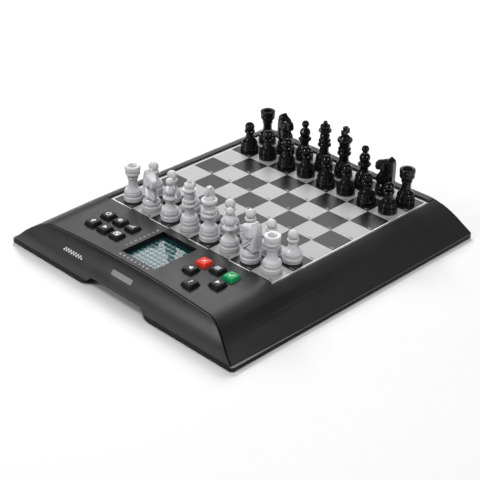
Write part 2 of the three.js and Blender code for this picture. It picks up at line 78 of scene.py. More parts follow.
case_width = case_high.x - case_low.x
case_depth = case_high.y - case_low.y
case_bottom = case_low.z
lip_top = case_bottom + 3.4
cover_bottom = cover_low.z
panel_z = cover_high.z
board_z = film_high.z
recess_side = film_high.x - film_low.x + 2 * GAP
square = (recess_side - 2 * BOARD_MARGIN) / 8
board_middle = Vector((0, (film_low.y + film_high.y) / 2))
board_front = board_middle.y - 4 * square

FLAT_HALF_WIDTH = 92  # where the flat top turns into the shoulder
SHOULDER_RADIUS = 45
FRONT_DROOP = 1.7  # how far the top sinks at the shoulders along the front edge
FASCIA_TOP_Y = -132.3
FASCIA_BULGE = 3.1
BACK_TOP_Y = 138.3

LCD = {"x": 0, "y": (window_low.y + window_high.y) / 2, "width": 41.4, "depth": 46.2, "wall": 2}
KEY_HOLE = 12
RECESS = {"top": 29, "bottom": 37.5, "flare": 41.5, "height": 8.5, "depth": 26, "wall": 1.8, "round": 4}
BAY = {"y": 45, "length": 58, "width": 47, "wall": 1.6, "ceiling": 19}
FOOT = {"radius": 6, "pocket": 1.6}
SCREW = {
    "x": 118, "rows": (-126, 12, 130), "head": 3.6, "bore": 1.7, "boss": 5.4, "height": 7.5, "seat": 4.5,
}
GROOVE = {"start": 0.7, "width": 1.4, "depth": 1.2}  # line between the fascia and the top
SOUND = {"at": (-58, -101), "ring": 5, "hole": 1.1}

FILES = "ABCDEFGH"
KEYS = [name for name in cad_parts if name.startswith("key_")]
MEN = [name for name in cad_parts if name.startswith(("white_", "black_"))]
FEET = [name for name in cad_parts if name.startswith("foot_")]
CELLS = [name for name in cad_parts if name.startswith("battery_cell_")]
CORNERS = ((-1, -1), (1, -1), (1, 1), (-1, 1))


def middle_of(node):
    """Middle of a CAD node's box, in millimetres."""
    low, high = box_mm(node)
    return (low + high) / 2


# ---- mesh helpers


def link(name, data):
    """Puts a new object into the scene."""
    made = bpy.data.objects.new(name, data)
    bpy.context.scene.collection.objects.link(made)
    return made


def new_object(vertices, faces, name="shape"):
    """A mesh object with its faces turned outwards."""
    mesh = bpy.data.meshes.new(name)
    work = bmesh.new()
    corners = [work.verts.new(v) for v in vertices]
    for face in faces:
        work.faces.new([corners[i] for i in face])
    bmesh.ops.remove_doubles(work, verts=work.verts, dist=1e-5)
    bmesh.ops.recalc_face_normals(work, faces=work.faces)
    work.to_mesh(mesh)
    work.free()
    return link(name, mesh)


def moved(made, x=0, y=0, z=0):
    made.data.transform(Matrix.Translation((x, y, z)))
    return made


def turned(made, degrees, axis):
    made.data.transform(Matrix.Rotation(math.radians(degrees), 4, axis))
    return made


def in_metres(made):
    made.data.transform(Matrix.Scale(MM, 4))
    return made


def add_modifier(made, kind, **settings):
    step = made.modifiers.new(kind, kind)
    for key, value in settings.items():
        setattr(step, key, value)


def modified(made, kind, **settings):
    """Changes an object's own mesh by a modifier."""
    add_modifier(made, kind, **settings)
    graph = bpy.context.evaluated_depsgraph_get()
    result = bpy.data.meshes.new_from_object(made.evaluated_get(graph))
    made.modifiers.clear()
    made.data = result
    return made


def combine(target, tools, operation):
    """Cuts, joins or intersects a solid with others, which are used up."""
    for tool in tools:
        modified(target, "BOOLEAN", operation=operation, solver="MANIFOLD", object=tool)
        bpy.data.objects.remove(tool)
    return target


def cut(target, *tools):
    return combine(target, tools, "DIFFERENCE")


def union(target, *others):
    return combine(target, others, "UNION")


def intersect(target, other):
    return combine(target, [other], "INTERSECT")


def round_edges(made, width, segments=3, angle=30):
    """Rounds the edges that turn by more than angle degrees, and shades the faces smooth."""
    smooth(made, 180)
    return modified(
        made, "BEVEL", width=width, segments=segments, limit_method="ANGLE", angle_limit=math.radians(angle),
        harden_normals=True, miter_outer="MITER_ARC",
    )


def smooth(made, degrees=40):
    """Smooth shading, except across edges that turn by more than degrees."""
    work = bmesh.new()
    work.from_mesh(made.data)
    limit = math.radians(degrees)
    for face in work.faces:
        face.smooth = True
    for edge in work.edges:
        edge.smooth = len(edge.link_faces) == 2 and edge.calc_face_angle(0) < limit
    work.to_mesh(made.data)
    work.free()
    return made


def tube_faces(count, rings, closed=False):
    """Faces between rings of count points each, with the two ends capped unless closed."""
    faces = []
    for k in range(rings if closed else rings - 1):
        a, b = k * count, ((k + 1) % rings) * count
        for i in range(count):
            j = (i + 1) % count
            faces.append((a + i, a + j, b + j, b + i))
    if not closed:
        faces.append(tuple(range(count)))
        faces.append(tuple(range((rings - 1) * count, rings * count)))
    return faces


def prism(outline, axis, start, end):
    """An outline run along an axis: (y, z) points along X, (x, z) along Y, (x, y) along Z."""
    place = {
        "X": lambda u, v, t: (t, u, v),
        "Y": lambda u, v, t: (u, t, v),
        "Z": lambda u, v, t: (u, v, t),
    }[axis]
    points = [place(u, v, t) for t in (start, end) for u, v in outline]
    return new_object(points, tube_faces(len(outline), 2))


def block(width, depth, at, heights):
    """An upright box round the point at, from heights[0] to heights[1]."""
    corners = [(at[0] + a * width / 2, at[1] + b * depth / 2) for a, b in CORNERS]
    return prism(corners, "Z", *heights)


def lathe(profile, steps=64, shape=None):
    """A round solid from (radius, height) points that start and end on its upright axis.

    shape(angle, height) is a factor on the radius, for flutes and lobes.
    """
    inner = profile[1:-1]
    points = []
    for angle in circle_angles(steps):
        for radius, height in inner:
            r = radius * (shape(angle, height) if shape else 1)
            points.append((r * math.cos(angle), r * math.sin(angle), height))
    count = len(inner)
    faces = []
    for i in range(steps):
        a, b = i * count, ((i + 1) % steps) * count
        faces += [(a + k, b + k, b + k + 1, a + k + 1) for k in range(count - 1)]
        faces += [(steps * count, a, b), (steps * count + 1, a + count - 1, b + count - 1)]
    points += [(0, 0, profile[0][1]), (0, 0, profile[-1][1])]
    return new_object(points, faces)


def disc(radius, at, heights, steps=48):
    """An upright round peg."""
    low, high = heights
    peg = lathe([(0, low), (radius, low), (radius, high), (0, high)], steps)
    return moved(peg, at[0], at[1])


def rod(radius, at, ends, steps=48):
    """A round rod along Y round (x, z)."""
    return moved(turned(disc(radius, (0, 0), ends, steps), -90, "X"), at[0], 0, at[1])


def circle_angles(steps):
    return [2 * math.pi * i / steps for i in range(steps)]


def arc(radius, middle, start, end, steps):
    """Points along an arc, from start to end degrees."""
    angles = [math.radians(start + (end - start) * i / steps) for i in range(steps + 1)]
    return [(middle[0] + radius * math.cos(a), middle[1] + radius * math.sin(a)) for a in angles]


def rounded_rectangle(width, depth, radius, steps=6):
    points = []
    for sx, sy, start in ((1, -1, -90), (1, 1, 0), (-1, 1, 90), (-1, -1, 180)):
        middle = (sx * (width / 2 - radius), sy * (depth / 2 - radius))
        points += arc(radius, middle, start, start + 90, steps)
    return points


def stack(layers, steps=4):
    """A body lofted through rounded rectangles, given as (width, depth, corner radius, height)."""
    points = []
    for width, depth, radius, height in layers:
        points += [(x, y, height) for x, y in rounded_rectangle(width, depth, radius, steps)]
    return new_object(points, tube_faces(4 * (steps + 1), len(layers)))


def place(made, name, slot, materials, replaced=(), at=(0, 0, 0), body="case"):
    """Turns a finished shape into a piece in metres: named, painted and riding on its body."""
    made.name = name
    made.data.name = name
    paint(in_metres(made), materials)
    settle(made, body, slot, replaced, at)


def paint(made, materials):
    """Gives an object one material or several, in place of any that it has."""
    made.data.materials.clear()
    for material in materials if isinstance(materials, (list, tuple)) else [materials]:
        made.data.materials.append(material)


def settle(made, body, slot, replaced=(), at=(0, 0, 0), turn=0.0):
    """Puts a piece at a point in millimetres, makes it ride and hides the CAD parts it replaces; slot is not
    used.
    """
    made.location = Vector(at) * MM
    made.rotation_euler = (0, 0, turn)
    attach(made, body)
    if replaced:
        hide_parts(*replaced)


# ---- materials


class Tree:
    """A node tree, with short ways to add and join its nodes."""

    def __init__(self, owner):
        owner.use_nodes = True
        self.tree = owner.node_tree

    def feed(self, node, inputs):
        """Sets a node's inputs, by name or number, each to a value or to another node's output."""
        for name, value in inputs.items():
            if isinstance(value, bpy.types.NodeSocket):
                self.tree.links.new(value, node.inputs[name])
            else:
                node.inputs[name].default_value = value

    def add(self, kind, inputs=None, **settings):
        node = self.tree.nodes.new(kind)
        for key, value in settings.items():
            setattr(node, key, value)
        self.feed(node, inputs or {})
        return node


class Look(Tree):
    """A material built on one principled shader."""

    def __init__(self, name, colour, roughness, specular=0.5):
        self.material = bpy.data.materials.new(name)
        super().__init__(self.material)
        self.shader = self.tree.nodes["Principled BSDF"]
        self.set({"Base Color": (*colour, 1), "Roughness": roughness, "Specular IOR Level": specular})
        self.place = self.add("ShaderNodeTexCoord").outputs["Object"]

    def set(self, inputs):
        self.feed(self.shader, inputs)

    def noise(self, size, detail=3, rough=0.5, stretch=None):
        """Noise with features of about size millimetres."""
        place = self.place
        if stretch:
            place = self.add("ShaderNodeMapping", {"Vector": place, "Scale": stretch}).outputs["Vector"]
        inputs = {"Vector": place, "Scale": 1 / (size * MM), "Detail": detail, "Roughness": rough}
        return self.add("ShaderNodeTexNoise", inputs).outputs["Fac"]

    def spread(self, value, low, high, start=0.3, end=0.7):
        """Maps value from start..end to low..high."""
        inputs = {"Value": value, "From Min": start, "From Max": end, "To Min": low, "To Max": high}
        return self.add("ShaderNodeMapRange", inputs).outputs["Result"]

    def mix(self, factor, first, second):
        """Mixes two colours, each a colour or a socket, by a socket."""
        first, second = ((*c, 1) if isinstance(c, tuple) else c for c in (first, second))
        return self.add("ShaderNodeMix", {0: factor, 6: first, 7: second}, data_type="RGBA").outputs[2]

    def bump(self, height, depth):
        """Gives the shader a bump of depth millimetres."""
        node = self.add("ShaderNodeBump", {"Distance": depth * MM, "Height": height})
        self.set({"Normal": node.outputs["Normal"]})

    def gloss(self, value, low, high):
        self.set({"Roughness": self.spread(value, low, high)})

    def varied(self, value, colour, less, more):
        """A colour times less to more, by a socket."""
        return self.mix(self.spread(value, 0, 1), shade(colour, less), shade(colour, more))

    def worn(self, body, colour, amount, gain, low=0.51, high=0.56):
        """The body colour with its sharp outer edges rubbed lighter by amount."""
        convex = self.add("ShaderNodeNewGeometry").outputs["Pointiness"]
        edges = self.spread(convex, 0, 1, low, high)
        rubbed = tuple(min(1, c * gain + 0.02) for c in colour)
        self.set({"Base Color": self.mix(self.spread(edges, 0, amount, 0, 1), body, rubbed)})


def shade(colour, factor):
    return tuple(min(1, c * factor) for c in colour)


def plastic(name, colour, roughness, specular=0.5, grain=0.25, depth=0.012, vary=0.06, wear=0.25):
    """Moulded plastic: cloudy colour, uneven gloss, a fine grain and edges rubbed lighter."""
    n = Look(name, colour, roughness, specular)
    body = n.varied(n.noise(38, 4), colour, 1 - vary, 1 + vary)
    body = n.mix(n.spread(n.noise(1.6, 2), 0, 0.35, 0.45, 0.8), body, shade(colour, 1 + 2 * vary))
    n.worn(body, colour, wear, 1.5)
    n.gloss(n.noise(14, 5, 0.6), roughness * 0.9, min(1, roughness * 1.12))
    n.bump(n.noise(grain, 2), depth)
    return n.material


def ink(name, colour, roughness, specular):
    """Printed ink: no grain to speak of and no worn edges."""
    return plastic(name, colour, roughness, specular, depth=0.004, wear=0)


def polished(name, colour, roughness, specular, vary=0.05):
    """Polished moulding: soft flow marks in the colour and a faint ripple in the gloss."""
    n = Look(name, colour, roughness, specular)
    flow = n.noise(9, 3, stretch=(1, 1, 0.4))
    n.worn(n.varied(flow, colour, 1 - vary, 1 + vary), colour, 0.3, 1.25, 0.52, 0.6)
    n.gloss(n.noise(4, 4), roughness * 0.8, roughness * 1.35)
    n.bump(n.noise(2.4, 2), 0.012)
    return n.material


def metal(name, colour, roughness):
    """Bare metal: cloudy colour and a fine uneven gloss."""
    n = Look(name, colour, roughness)
    n.set({"Metallic": 1, "Base Color": n.varied(n.noise(3, 4), colour, 0.85, 1.1)})
    fine = n.noise(0.4, 3)
    n.gloss(fine, roughness * 0.8, roughness * 1.3)
    n.bump(fine, 0.01)
    return n.material


def make_window():
    """The display's clear window, which mirrors the chess pieces behind it."""
    n = Look("display_window", (0.93, 0.97, 0.96), 0.02, 0.5)
    n.set({"Transmission Weight": 1, "IOR": 1.5})
    n.gloss(n.noise(25, 3), 0.0, 0.003)
    return n.material


# dark colours are darker than they look, because most of their tone is what they mirror
CASE_GREY = (0.006, 0.006, 0.0062)
CASE_BLACK = (0.003, 0.003, 0.0032)
case_top = plastic("case_top", CASE_GREY, 0.36, 0.5, grain=0.5, vary=0.08, wear=0.2)
# matt plastic darker than the top: the matt finish is real, the darker colour is painted shade in the wells
# and the fascia groove
case_matt = plastic("case_matt", CASE_BLACK, 0.7, 0.15, grain=0.5, depth=0.02, wear=0)
case_bottom_look = plastic("case_bottom", CASE_BLACK, 0.45, 0.12, grain=0.6, depth=0.03, wear=0.3)
ledge = plastic("case_ledge", CASE_BLACK, 0.3, 1.0, grain=0.6, depth=0.01, wear=0.6)
key_black = plastic("key_black", (0.004, 0.004, 0.0042), 0.36, 0.35, grain=0.3, depth=0.02, wear=0.35)
key_red = plastic("key_red", (0.45, 0.022, 0.012), 0.4, 0.4, grain=0.3, depth=0.02)
key_green = plastic("key_green", (0.0, 0.18, 0.05), 0.4, 0.4, grain=0.3, depth=0.02)
print_white = ink("print_white", (0.45, 0.455, 0.455), 0.5, 0.3)
print_dark = ink("print_dark", (0.008, 0.008, 0.0085), 0.45, 0.3)
print_grey = ink("print_grey", (0.2, 0.2, 0.205), 0.45, 0.3)
piece_white = polished("piece_white", (0.4, 0.392, 0.404), 0.08, 0.5)
piece_black = polished("piece_black", (0.003, 0.003, 0.0033), 0.1, 0.38, vary=0.3)
film_light = plastic(
    "film_light", (0.22, 0.22, 0.222), 0.33, 0.35, grain=1.1, depth=0.006, vary=0.03, wear=0
)
film_dark = plastic("film_dark", (0.008, 0.008, 0.0083), 0.24, 0.35, grain=1.1, depth=0.002, wear=0)
film_line = ink("film_line", (0.5, 0.5, 0.5), 0.3, 0.5)
# a grey line near the recess's rim: a painted highlight, not print
film_rim_highlight = ink("film_rim_highlight", (0.3, 0.3, 0.3), 0.3, 0.4)
film_edge = plastic("film_edge", (0.006, 0.006, 0.0063), 0.35, 0.4, depth=0.006, wear=0.2)
lcd_base = plastic("lcd_base", (0.002, 0.02, 0.021), 0.4, 0.1, grain=0.5, depth=0.002, wear=0)
# the dots are the display's real pattern; their light colour is partly a painted reflection of the bright
# backdrop
lcd_dot = plastic("lcd_dot", (0.085, 0.13, 0.14), 0.2, 0.75, grain=0.5, depth=0.001, wear=0)
rubber = plastic("foot_rubber", (0.008, 0.008, 0.008), 0.8, 0.25, grain=0.4, depth=0.04)
silicone = plastic("silicone", (0.28, 0.28, 0.265), 0.6, 0.3, grain=0.6, depth=0.02)
circuit = plastic("circuit_board", (0.006, 0.055, 0.02), 0.4, 0.5, grain=0.9, depth=0.02)
jack_black = plastic("jack_plastic", (0.006, 0.006, 0.0065), 0.35, 0.4)
sleeve = plastic("cell_sleeve", (0.03, 0.05, 0.1), 0.3, 0.5, depth=0.004)
sleeve_band = plastic("cell_band", (0.28, 0.21, 0.08), 0.3, 0.5, depth=0.004)
steel = metal("steel", (0.62, 0.61, 0.6), 0.3)
plate_grey = plastic("plate_grey", (0.14, 0.14, 0.145), 0.35, 0.5, grain=0.4, depth=0.006, wear=0.3)

# ---- casing

cover_half_width = cover_high.x
cover_half_depth = cover_high.y
level_from = board_middle.y - recess_side / 2


def tangent_angle(centre, radius, point):
    """Where a line from a point outside a circle touches it, as the angle on the circle."""
    dx, dz = point[0] - centre[0], point[1] - centre[1]
    return math.atan2(dz, dx) + math.acos(radius / math.hypot(dx, dz))


shoulder_centre = (FLAT_HALF_WIDTH, panel_z - SHOULDER_RADIUS)
slope_angle = tangent_angle(shoulder_centre, SHOULDER_RADIUS, (cover_half_width, cover_bottom))


def droop_at(y):
    """How far the top sinks at its shoulders, by the distance from the front."""
    return FRONT_DROOP * max(0, level_from - y) / (level_from - FASCIA_TOP_Y)


def panel_height(x, y):
    """Height of the top cover's flat part at a point."""
    return panel_z - droop_at(y) * (x / FLAT_HALF_WIDTH) ** 2


def section(inset, droop, bottom, crown_steps=12, shoulder_steps=28):
    """The case's cross-section as (x, z) points, moved in by inset."""
    right = []
    for i in range(crown_steps):
        across = i / crown_steps
        right.append((FLAT_HALF_WIDTH * across, panel_z - inset - droop * across**2))
    middle = (shoulder_centre[0], shoulder_centre[1] - droop)
    right += arc(SHOULDER_RADIUS - inset, middle, 90, math.degrees(slope_angle), shoulder_steps)
    x, z = right[-1]
    right.append((x + (z - bottom) * math.tan(slope_angle), bottom))
    return right[::-1] + [(-x, z) for x, z in right[1:]]


def loft(inset, bottom):
    """The case's body from front to back, its walls moved in by inset."""
    stations = [-case_depth / 2 - 4, level_from, case_depth / 2 + 4]
    points = []
    for y in stations:
        points += [(x, y, z) for x, z in section(inset, droop_at(y), bottom)]
    return new_object(points, tube_faces(len(points) // len(stations), len(stations)))


def fascia_line(shift, steps=16):
    """The fascia in side view: (y, z) points on an arc from the front lip to the top and past both."""
    y0, z0, y1, z1 = -cover_half_depth, cover_bottom, FASCIA_TOP_Y, panel_z
    chord = math.hypot(y1 - y0, z1 - z0)
    radius = chord**2 / (8 * FASCIA_BULGE) + FASCIA_BULGE / 2
    half = math.asin(chord / 2 / radius)
    lean = math.atan2(y1 - y0, z1 - z0)
    centre_y = (y0 + y1) / 2 + math.cos(lean) * (radius - FASCIA_BULGE)
    centre_z = (z0 + z1) / 2 - math.sin(lean) * (radius - FASCIA_BULGE)
    reach = math.degrees(half * (1 + 4 / steps))  # two steps past both ends
    level = 180 - math.degrees(lean)
    return arc(radius, (centre_y + shift, centre_z), level + reach, level - reach, steps + 4)


def front_to_back(front, back):
    """All between the fascia, moved back by front, and the leaning back face, moved in by back."""
    lean = (cover_half_depth - BACK_TOP_Y) / (panel_z - cover_bottom)
    low, high = cover_bottom - 8, panel_z + 8
    line = fascia_line(front)
    back_at = [cover_half_depth - back - lean * (z - cover_bottom) for z in (low, high)]
    outline = [(line[0][0], low), (back_at[0], low), (back_at[1], high), (line[-1][0], high)]
    return prism(outline + line[::-1], "X", -case_width, case_width)


def recess_outline(grow=0.0):
    """Outline of the finger recess in the front edge, as (x, z) points."""
    ceiling = case_bottom + RECESS["height"] + grow
    half = [
        (RECESS["flare"] + grow, case_bottom - 2),
        (RECESS["flare"] + grow, case_bottom + 0.2),
        (RECESS["bottom"] + grow + 1, case_bottom + 1.4),
    ]
    half += arc(RECESS["round"], (RECESS["top"] + grow, ceiling - RECESS["round"]), 25, 90, 8)
    return half + [(-x, z) for x, z in half[::-1]]


def make_top_cover():
    """The upper shell, with a tray under the board and a rim round the display."""
    joined = panel_z - WALL + 0.5  # inner parts reach up into the panel
    recess_floor = film_low.z - GAP
    lcd_at = (LCD["x"], LCD["y"])
    rim = 2 * LCD["wall"]
    tray_side = recess_side + 2 * WALL
    shell = intersect(loft(0, cover_bottom), front_to_back(0, 0))
    cut(shell, intersect(loft(WALL, cover_bottom - 6), front_to_back(FASCIA_WALL, BACK_WALL)))
    outer = intersect(loft(0.05, cover_bottom), front_to_back(0.05, 0.05))
    tray = block(tray_side, tray_side, board_middle, (recess_floor - 2, joined))
    display_rim = block(LCD["width"] + rim, LCD["depth"] + rim, lcd_at, (window_high.z + GAP, joined))
    union(shell, intersect(tray, outer), display_rim)
    over = panel_z + OVER
    holes = [
        block(recess_side, recess_side, board_middle, (recess_floor, over)),
        block(LCD["width"], LCD["depth"], lcd_at, (window_high.z - 3, over)),
    ]
    holes += [block(KEY_HOLE, KEY_HOLE, middle_of(key), (recess_floor - OVER, over)) for key in KEYS]
    jack = middle_of("power_jack")
    holes.append(rod(JACK_HOLE, (jack.x, jack.z), (cover_half_depth - 20, cover_half_depth + OVER)))
    groove = front_to_back(GROOVE["start"], 0)
    behind = front_to_back(GROOVE["start"] + GROOVE["width"], -20)
    cut(groove, behind, loft(GROOVE["depth"], cover_bottom - 20))
    holes += [groove, prism(recess_outline(), "Y", -case_depth, case_low.y + RECESS["depth"])]
    return round_edges(cut(shell, *holes), 0.3, 3, 28)


def below_surface(x, y, z):
    """How far a point lies below the top cover's outer surface, in the case's cross-section."""
    if abs(x) < FLAT_HALF_WIDTH:
        return panel_height(x, y) - z
    centre_z = shoulder_centre[1] - droop_at(y)
    return SHOULDER_RADIUS - math.hypot(abs(x) - FLAT_HALF_WIDTH, z - centre_z)


def in_a_well(point):
    """True on the walls of the display's well and of the board's recess, which are left matt and painted
    darker as shade.
    """
    x, y, z = point
    if z > panel_z - 0.5 or z < film_low.z - GAP + 0.1:
        return False
    for width, depth, middle in (
        (LCD["width"], LCD["depth"], (LCD["x"], LCD["y"])),
        (recess_side, recess_side, board_middle),
    ):
        if abs(x - middle[0]) < width / 2 + 0.1 and abs(y - middle[1]) < depth / 2 + 0.1:
            return True
    return False


def in_groove(point):
    """True inside the groove over the fascia, which is left matt and painted darker as shade too."""
    x, y, z = point
    line_y, line_z = zip(*fascia_line(0))
    along = y - np.interp(z, line_z, line_y) - GROOVE["start"]
    return -0.1 < along < GROOVE["width"] + 0.1 and below_surface(x, y, z) > 0.35


top_cover = make_top_cover()
place(top_cover, "fine_top_cover", "case_top", [case_top, case_matt], ["top_cover"])
# the walls of the wells and the groove over the fascia take the darker matt look: painted shade
for face in top_cover.data.polygons:
    middle = face.center / MM
    face.material_index = 1 if in_a_well(middle) or in_groove(middle) else 0


def make_bottom_cover():
    """The lower shell, with the finger recess's liner, the battery bay and every boss and hole."""
    below = case_bottom - OVER
    in_floor = case_bottom + FLOOR - 0.5
    tray = prism(rounded_rectangle(case_width, case_depth, 3), "Z", case_bottom, lip_top)
    inside = rounded_rectangle(case_width - 2 * LIP, case_depth - 2 * LIP, 2)
    cut(tray, prism(inside, "Z", case_bottom + FLOOR, lip_top + OVER))
    back = case_low.y + RECESS["depth"]
    liner = prism(recess_outline(RECESS["wall"]), "Y", case_low.y + 5.9, back + RECESS["wall"])
    intersect(liner, block(case_width, case_depth, (0, 0), (case_bottom, board_z)))
    bay_at = (0, BAY["y"])
    walls = 2 * BAY["wall"]
    bay_top = BAY["ceiling"] + BAY["wall"]
    bay = block(BAY["length"] + walls, BAY["width"] + walls, bay_at, (case_bottom, bay_top))
    bosses = [disc(SCREW["boss"], at, (in_floor, case_bottom + SCREW["height"])) for at in screw_places]
    pads = [disc(FOOT["radius"] + 2, middle_of(f), (in_floor, case_bottom + FLOOR + 1.6)) for f in FEET]
    union(tray, liner, bay, *bosses, *pads)
    holes = [
        prism(recess_outline(), "Y", case_low.y - 10, back),
        block(BAY["length"], BAY["width"], bay_at, (below, BAY["ceiling"])),
    ]
    for radius, places, top, steps in (
        (FOOT["radius"] + GAP, [middle_of(f) for f in FEET], FOOT["pocket"], 48),
        (SCREW["head"], screw_places, SCREW["seat"], 48),
        (SCREW["bore"], screw_places, SCREW["height"] + 1, 24),
        (SOUND["hole"], sound_holes, OVER, 16),
    ):
        holes += [disc(radius, at, (below, case_bottom + top), steps) for at in places]
    return round_edges(cut(tray, *holes), 0.2, 2, 28)


screw_places = [(side * SCREW["x"], y) for y in SCREW["rows"] for side in (-1, 1)]
sound_holes = [SOUND["at"], *arc(SOUND["ring"], SOUND["at"], 0, 300, 5)]

bottom_cover = make_bottom_cover()
place(bottom_cover, "fine_bottom_cover", "case_bottom", [case_bottom_look, ledge], ["bottom_cover"])
for face in bottom_cover.data.polygons:
    on_ledge = face.normal.z > 0.3 and face.center.z > (lip_top - 0.5) * MM
    face.material_index = 1 if on_ledge else 0

# ---- printed marks

INK = 0.03  # how far print stands above its surface
PRINT_DEPTH = 0.2  # how deep it reaches below


class Marks:
    """Flat printed shapes gathered into one thin mesh; each is let into the surface below it."""

    def __init__(self):
        self.points = []
        self.faces = []

    def add(self, points, faces, matrix):
        start = len(self.points)
        self.points += [matrix @ Vector(p) for p in points]
        self.faces += [tuple(start + i for i in face) for face in faces]

    def outline(self, outline, at=(0, 0, 0), turn=0.0, depth=PRINT_DEPTH):
        """A filled outline of (x, y) points."""
        points = [(x, y, z) for z in (-depth, 0) for x, y in outline]
        matrix = Matrix.Translation(at) @ Matrix.Rotation(turn, 4, "Z")
        self.add(points, tube_faces(len(outline), 2), matrix)

    def stroke(self, start, end, width):
        """A straight stroke between two points."""
        along = Vector(end) - Vector(start)
        low, high = -width / 2, width / 2
        outline = [(0, low), (along.length, low), (along.length, high), (0, high)]
        self.outline(outline, (*start, 0), math.atan2(along.y, along.x))

    def ring(self, outer, inner, at, start, sweep, steps=24):
        """A flat ring, or the part of one from start through sweep degrees."""
        whole = sweep >= 360
        section = ((inner, -PRINT_DEPTH), (outer, -PRINT_DEPTH), (outer, 0), (inner, 0))
        rings = steps if whole else steps + 1
        points = []
        for i in range(rings):
            angle = math.radians(start + sweep * i / steps)
            points += [(r * math.cos(angle), r * math.sin(angle), z) for r, z in section]
        self.add(points, tube_faces(4, rings, closed=whole), Matrix.Translation(at))

    def text(self, text, size, at):
        self.add(*glyphs(text), Matrix.Translation(at) @ Matrix.Scale(size, 4))

    def make(self, name, slot, material, at=(0, 0, 0), grow=1.0, body="case"):
        """The marks as one piece, drawn larger by grow."""
        made = new_object(self.points, self.faces)
        made.data.transform(Matrix.Diagonal((grow, grow, 1, 1)))
        place(made, name, slot, material, at=at, body=body)


glyph_shapes = {}


def glyphs(text):
    """Corners and faces of a short text, one unit tall, centred, with its top at height 0."""
    if text not in glyph_shapes:
        curve = bpy.data.curves.new("text", "FONT")
        curve.body = text
        curve.size = 1.4
        curve.align_x = "CENTER"
        curve.align_y = "CENTER"
        curve.extrude = 0.06
        curve.offset = 0.012
        curve.resolution_u = 3
        holder = link("text", curve)
        bpy.context.view_layer.update()
        graph = bpy.context.evaluated_depsgraph_get()
        mesh = bpy.data.meshes.new_from_object(holder.evaluated_get(graph))
        points = [(v.co.x, v.co.y, v.co.z - 0.06) for v in mesh.vertices]
        glyph_shapes[text] = (points, [tuple(f.vertices) for f in mesh.polygons])
        bpy.data.objects.remove(holder)
        bpy.data.meshes.remove(mesh)
        bpy.data.curves.remove(curve)
    return glyph_shapes[text]


MOTIF = {"x": -58.5, "z": 19.3, "columns": 15, "rows": 2, "cell": 1.6}
PLATE = {"x": 2.2, "z": 21.6, "width": 24.5, "height": 4.6, "corner": 0.8}


def fascia_frame(x, z):
    """Placement on the fascia at a height: X along it, Y up it and Z out of it."""
    line = fascia_line(0)
    upper = next(i for i in range(1, len(line)) if line[i][1] >= z)
    (y0, z0), (y1, z1) = line[upper - 1], line[upper]
    up = Vector((0, y1 - y0, z1 - z0)).normalized()
    along = Vector((1, 0, 0))
    axes = Matrix((along, up, along.cross(up))).transposed().to_4x4()
    return Matrix.Translation((x, y0 + (y1 - y0) * (z - z0) / (z1 - z0), z)) @ axes


def make_fascia_marks():
    """A printed strip of chessboard squares, and a plain satin plate with no lettering."""
    strip = Marks()
    cell = MOTIF["cell"]
    for i in range(MOTIF["columns"]):
        for j in range(MOTIF["rows"]):
            if (i + j) % 2 == 0:
                at = ((i + 0.5 - MOTIF["columns"] / 2) * cell, (j + 0.5 - MOTIF["rows"] / 2) * cell, INK)
                strip.outline(rounded_rectangle(cell, cell, 0.08, 2), at)
    made = new_object(strip.points, strip.faces)
    made.data.transform(fascia_frame(MOTIF["x"], MOTIF["z"]))
    place(made, "fascia_strip", "case_top", print_white)
    width, height, corner = PLATE["width"], PLATE["height"], PLATE["corner"]
    # how much smaller each layer is, its share of the corner radius, and how far out it lies
    layers = ((0, 1, -0.5), (0, 1, 0.45), (0.5, 1, 0.6), (1.1, 0.7, 0.6), (1.4, 0.6, 0.38))
    plate = stack([(width - less, height - less, corner * part, out) for less, part, out in layers])
    smooth(plate, 25)
    plate.data.transform(fascia_frame(PLATE["x"], PLATE["z"]))
    place(plate, "fascia_plate", "case_top", plate_grey)


# ---- playing surface

LINE = {"start": 0.3, "width": 0.95}  # bright line round the squares
RIM_HIGHLIGHT = {"start": 2.2, "width": 0.5}  # a fainter line outside it: a painted highlight of the recess's rim
LABEL = {"size": 2.3, "x": 3.4, "y": 2.1}  # in from the square's right front corner


def film_look(x, y):
    """The number of the film's material at a point measured from the board's middle."""
    half = 4 * square
    reach = max(abs(x), abs(y)) - half
    column = math.floor(x / square)
    if reach < 0:
        return 1 - (column + math.floor(y / square)) % 2
    if 0 < reach - LINE["start"] < LINE["width"]:
        beside_light = y < -half and abs(x) < half and column % 2 == 1
        return 3 if beside_light else 2
    # look 4 is the painted highlight of the recess's rim, look 3 the dark border
    return 4 if 0 < reach - RIM_HIGHLIGHT["start"] < RIM_HIGHLIGHT["width"] else 3


def make_film():
    """The sensor board: a slab whose top is a grid of squares, a printed border line and a painted highlight
    of the recess's rim, one look for each.
    """
    steps = [square * i for i in range(1, 5)]
    for line in (LINE, RIM_HIGHLIGHT):
        steps += [4 * square + line["start"], 4 * square + line["start"] + line["width"]]
    steps.append(film_high.x)
    offsets = [-s for s in steps[::-1]] + [0] + steps
    middles = [(a + b) / 2 for a, b in zip(offsets, offsets[1:])]
    count = len(offsets)
    points = [(x, board_middle.y + y, film_high.z) for y in offsets for x in offsets]
    grid = np.arange(count * count).reshape(count, count)
    faces = []
    looks = []
    for j, y in enumerate(middles):
        for i, x in enumerate(middles):
            faces.append((grid[j, i], grid[j, i + 1], grid[j + 1, i + 1], grid[j + 1, i]))
            looks.append(film_look(x, y))
    rim = [*grid[0, :-1], *grid[:-1, -1], *grid[-1, :0:-1], *grid[:0:-1, 0]]
    low = [len(points) + k for k in range(len(rim))]
    points += [(points[i][0], points[i][1], film_low.z) for i in rim]
    faces += [*zip(rim, rim[1:] + rim[:1], low[1:] + low[:1], low), tuple(low)]
    looks += [3] * (len(rim) + 1)
    film = new_object(points, faces)
    materials = [film_light, film_dark, film_line, film_edge, film_rim_highlight]
    place(film, "fine_sensor_board", "board_film", materials, ["sensor_board"])
    for face, look in zip(film.data.polygons, looks):
        face.material_index = look


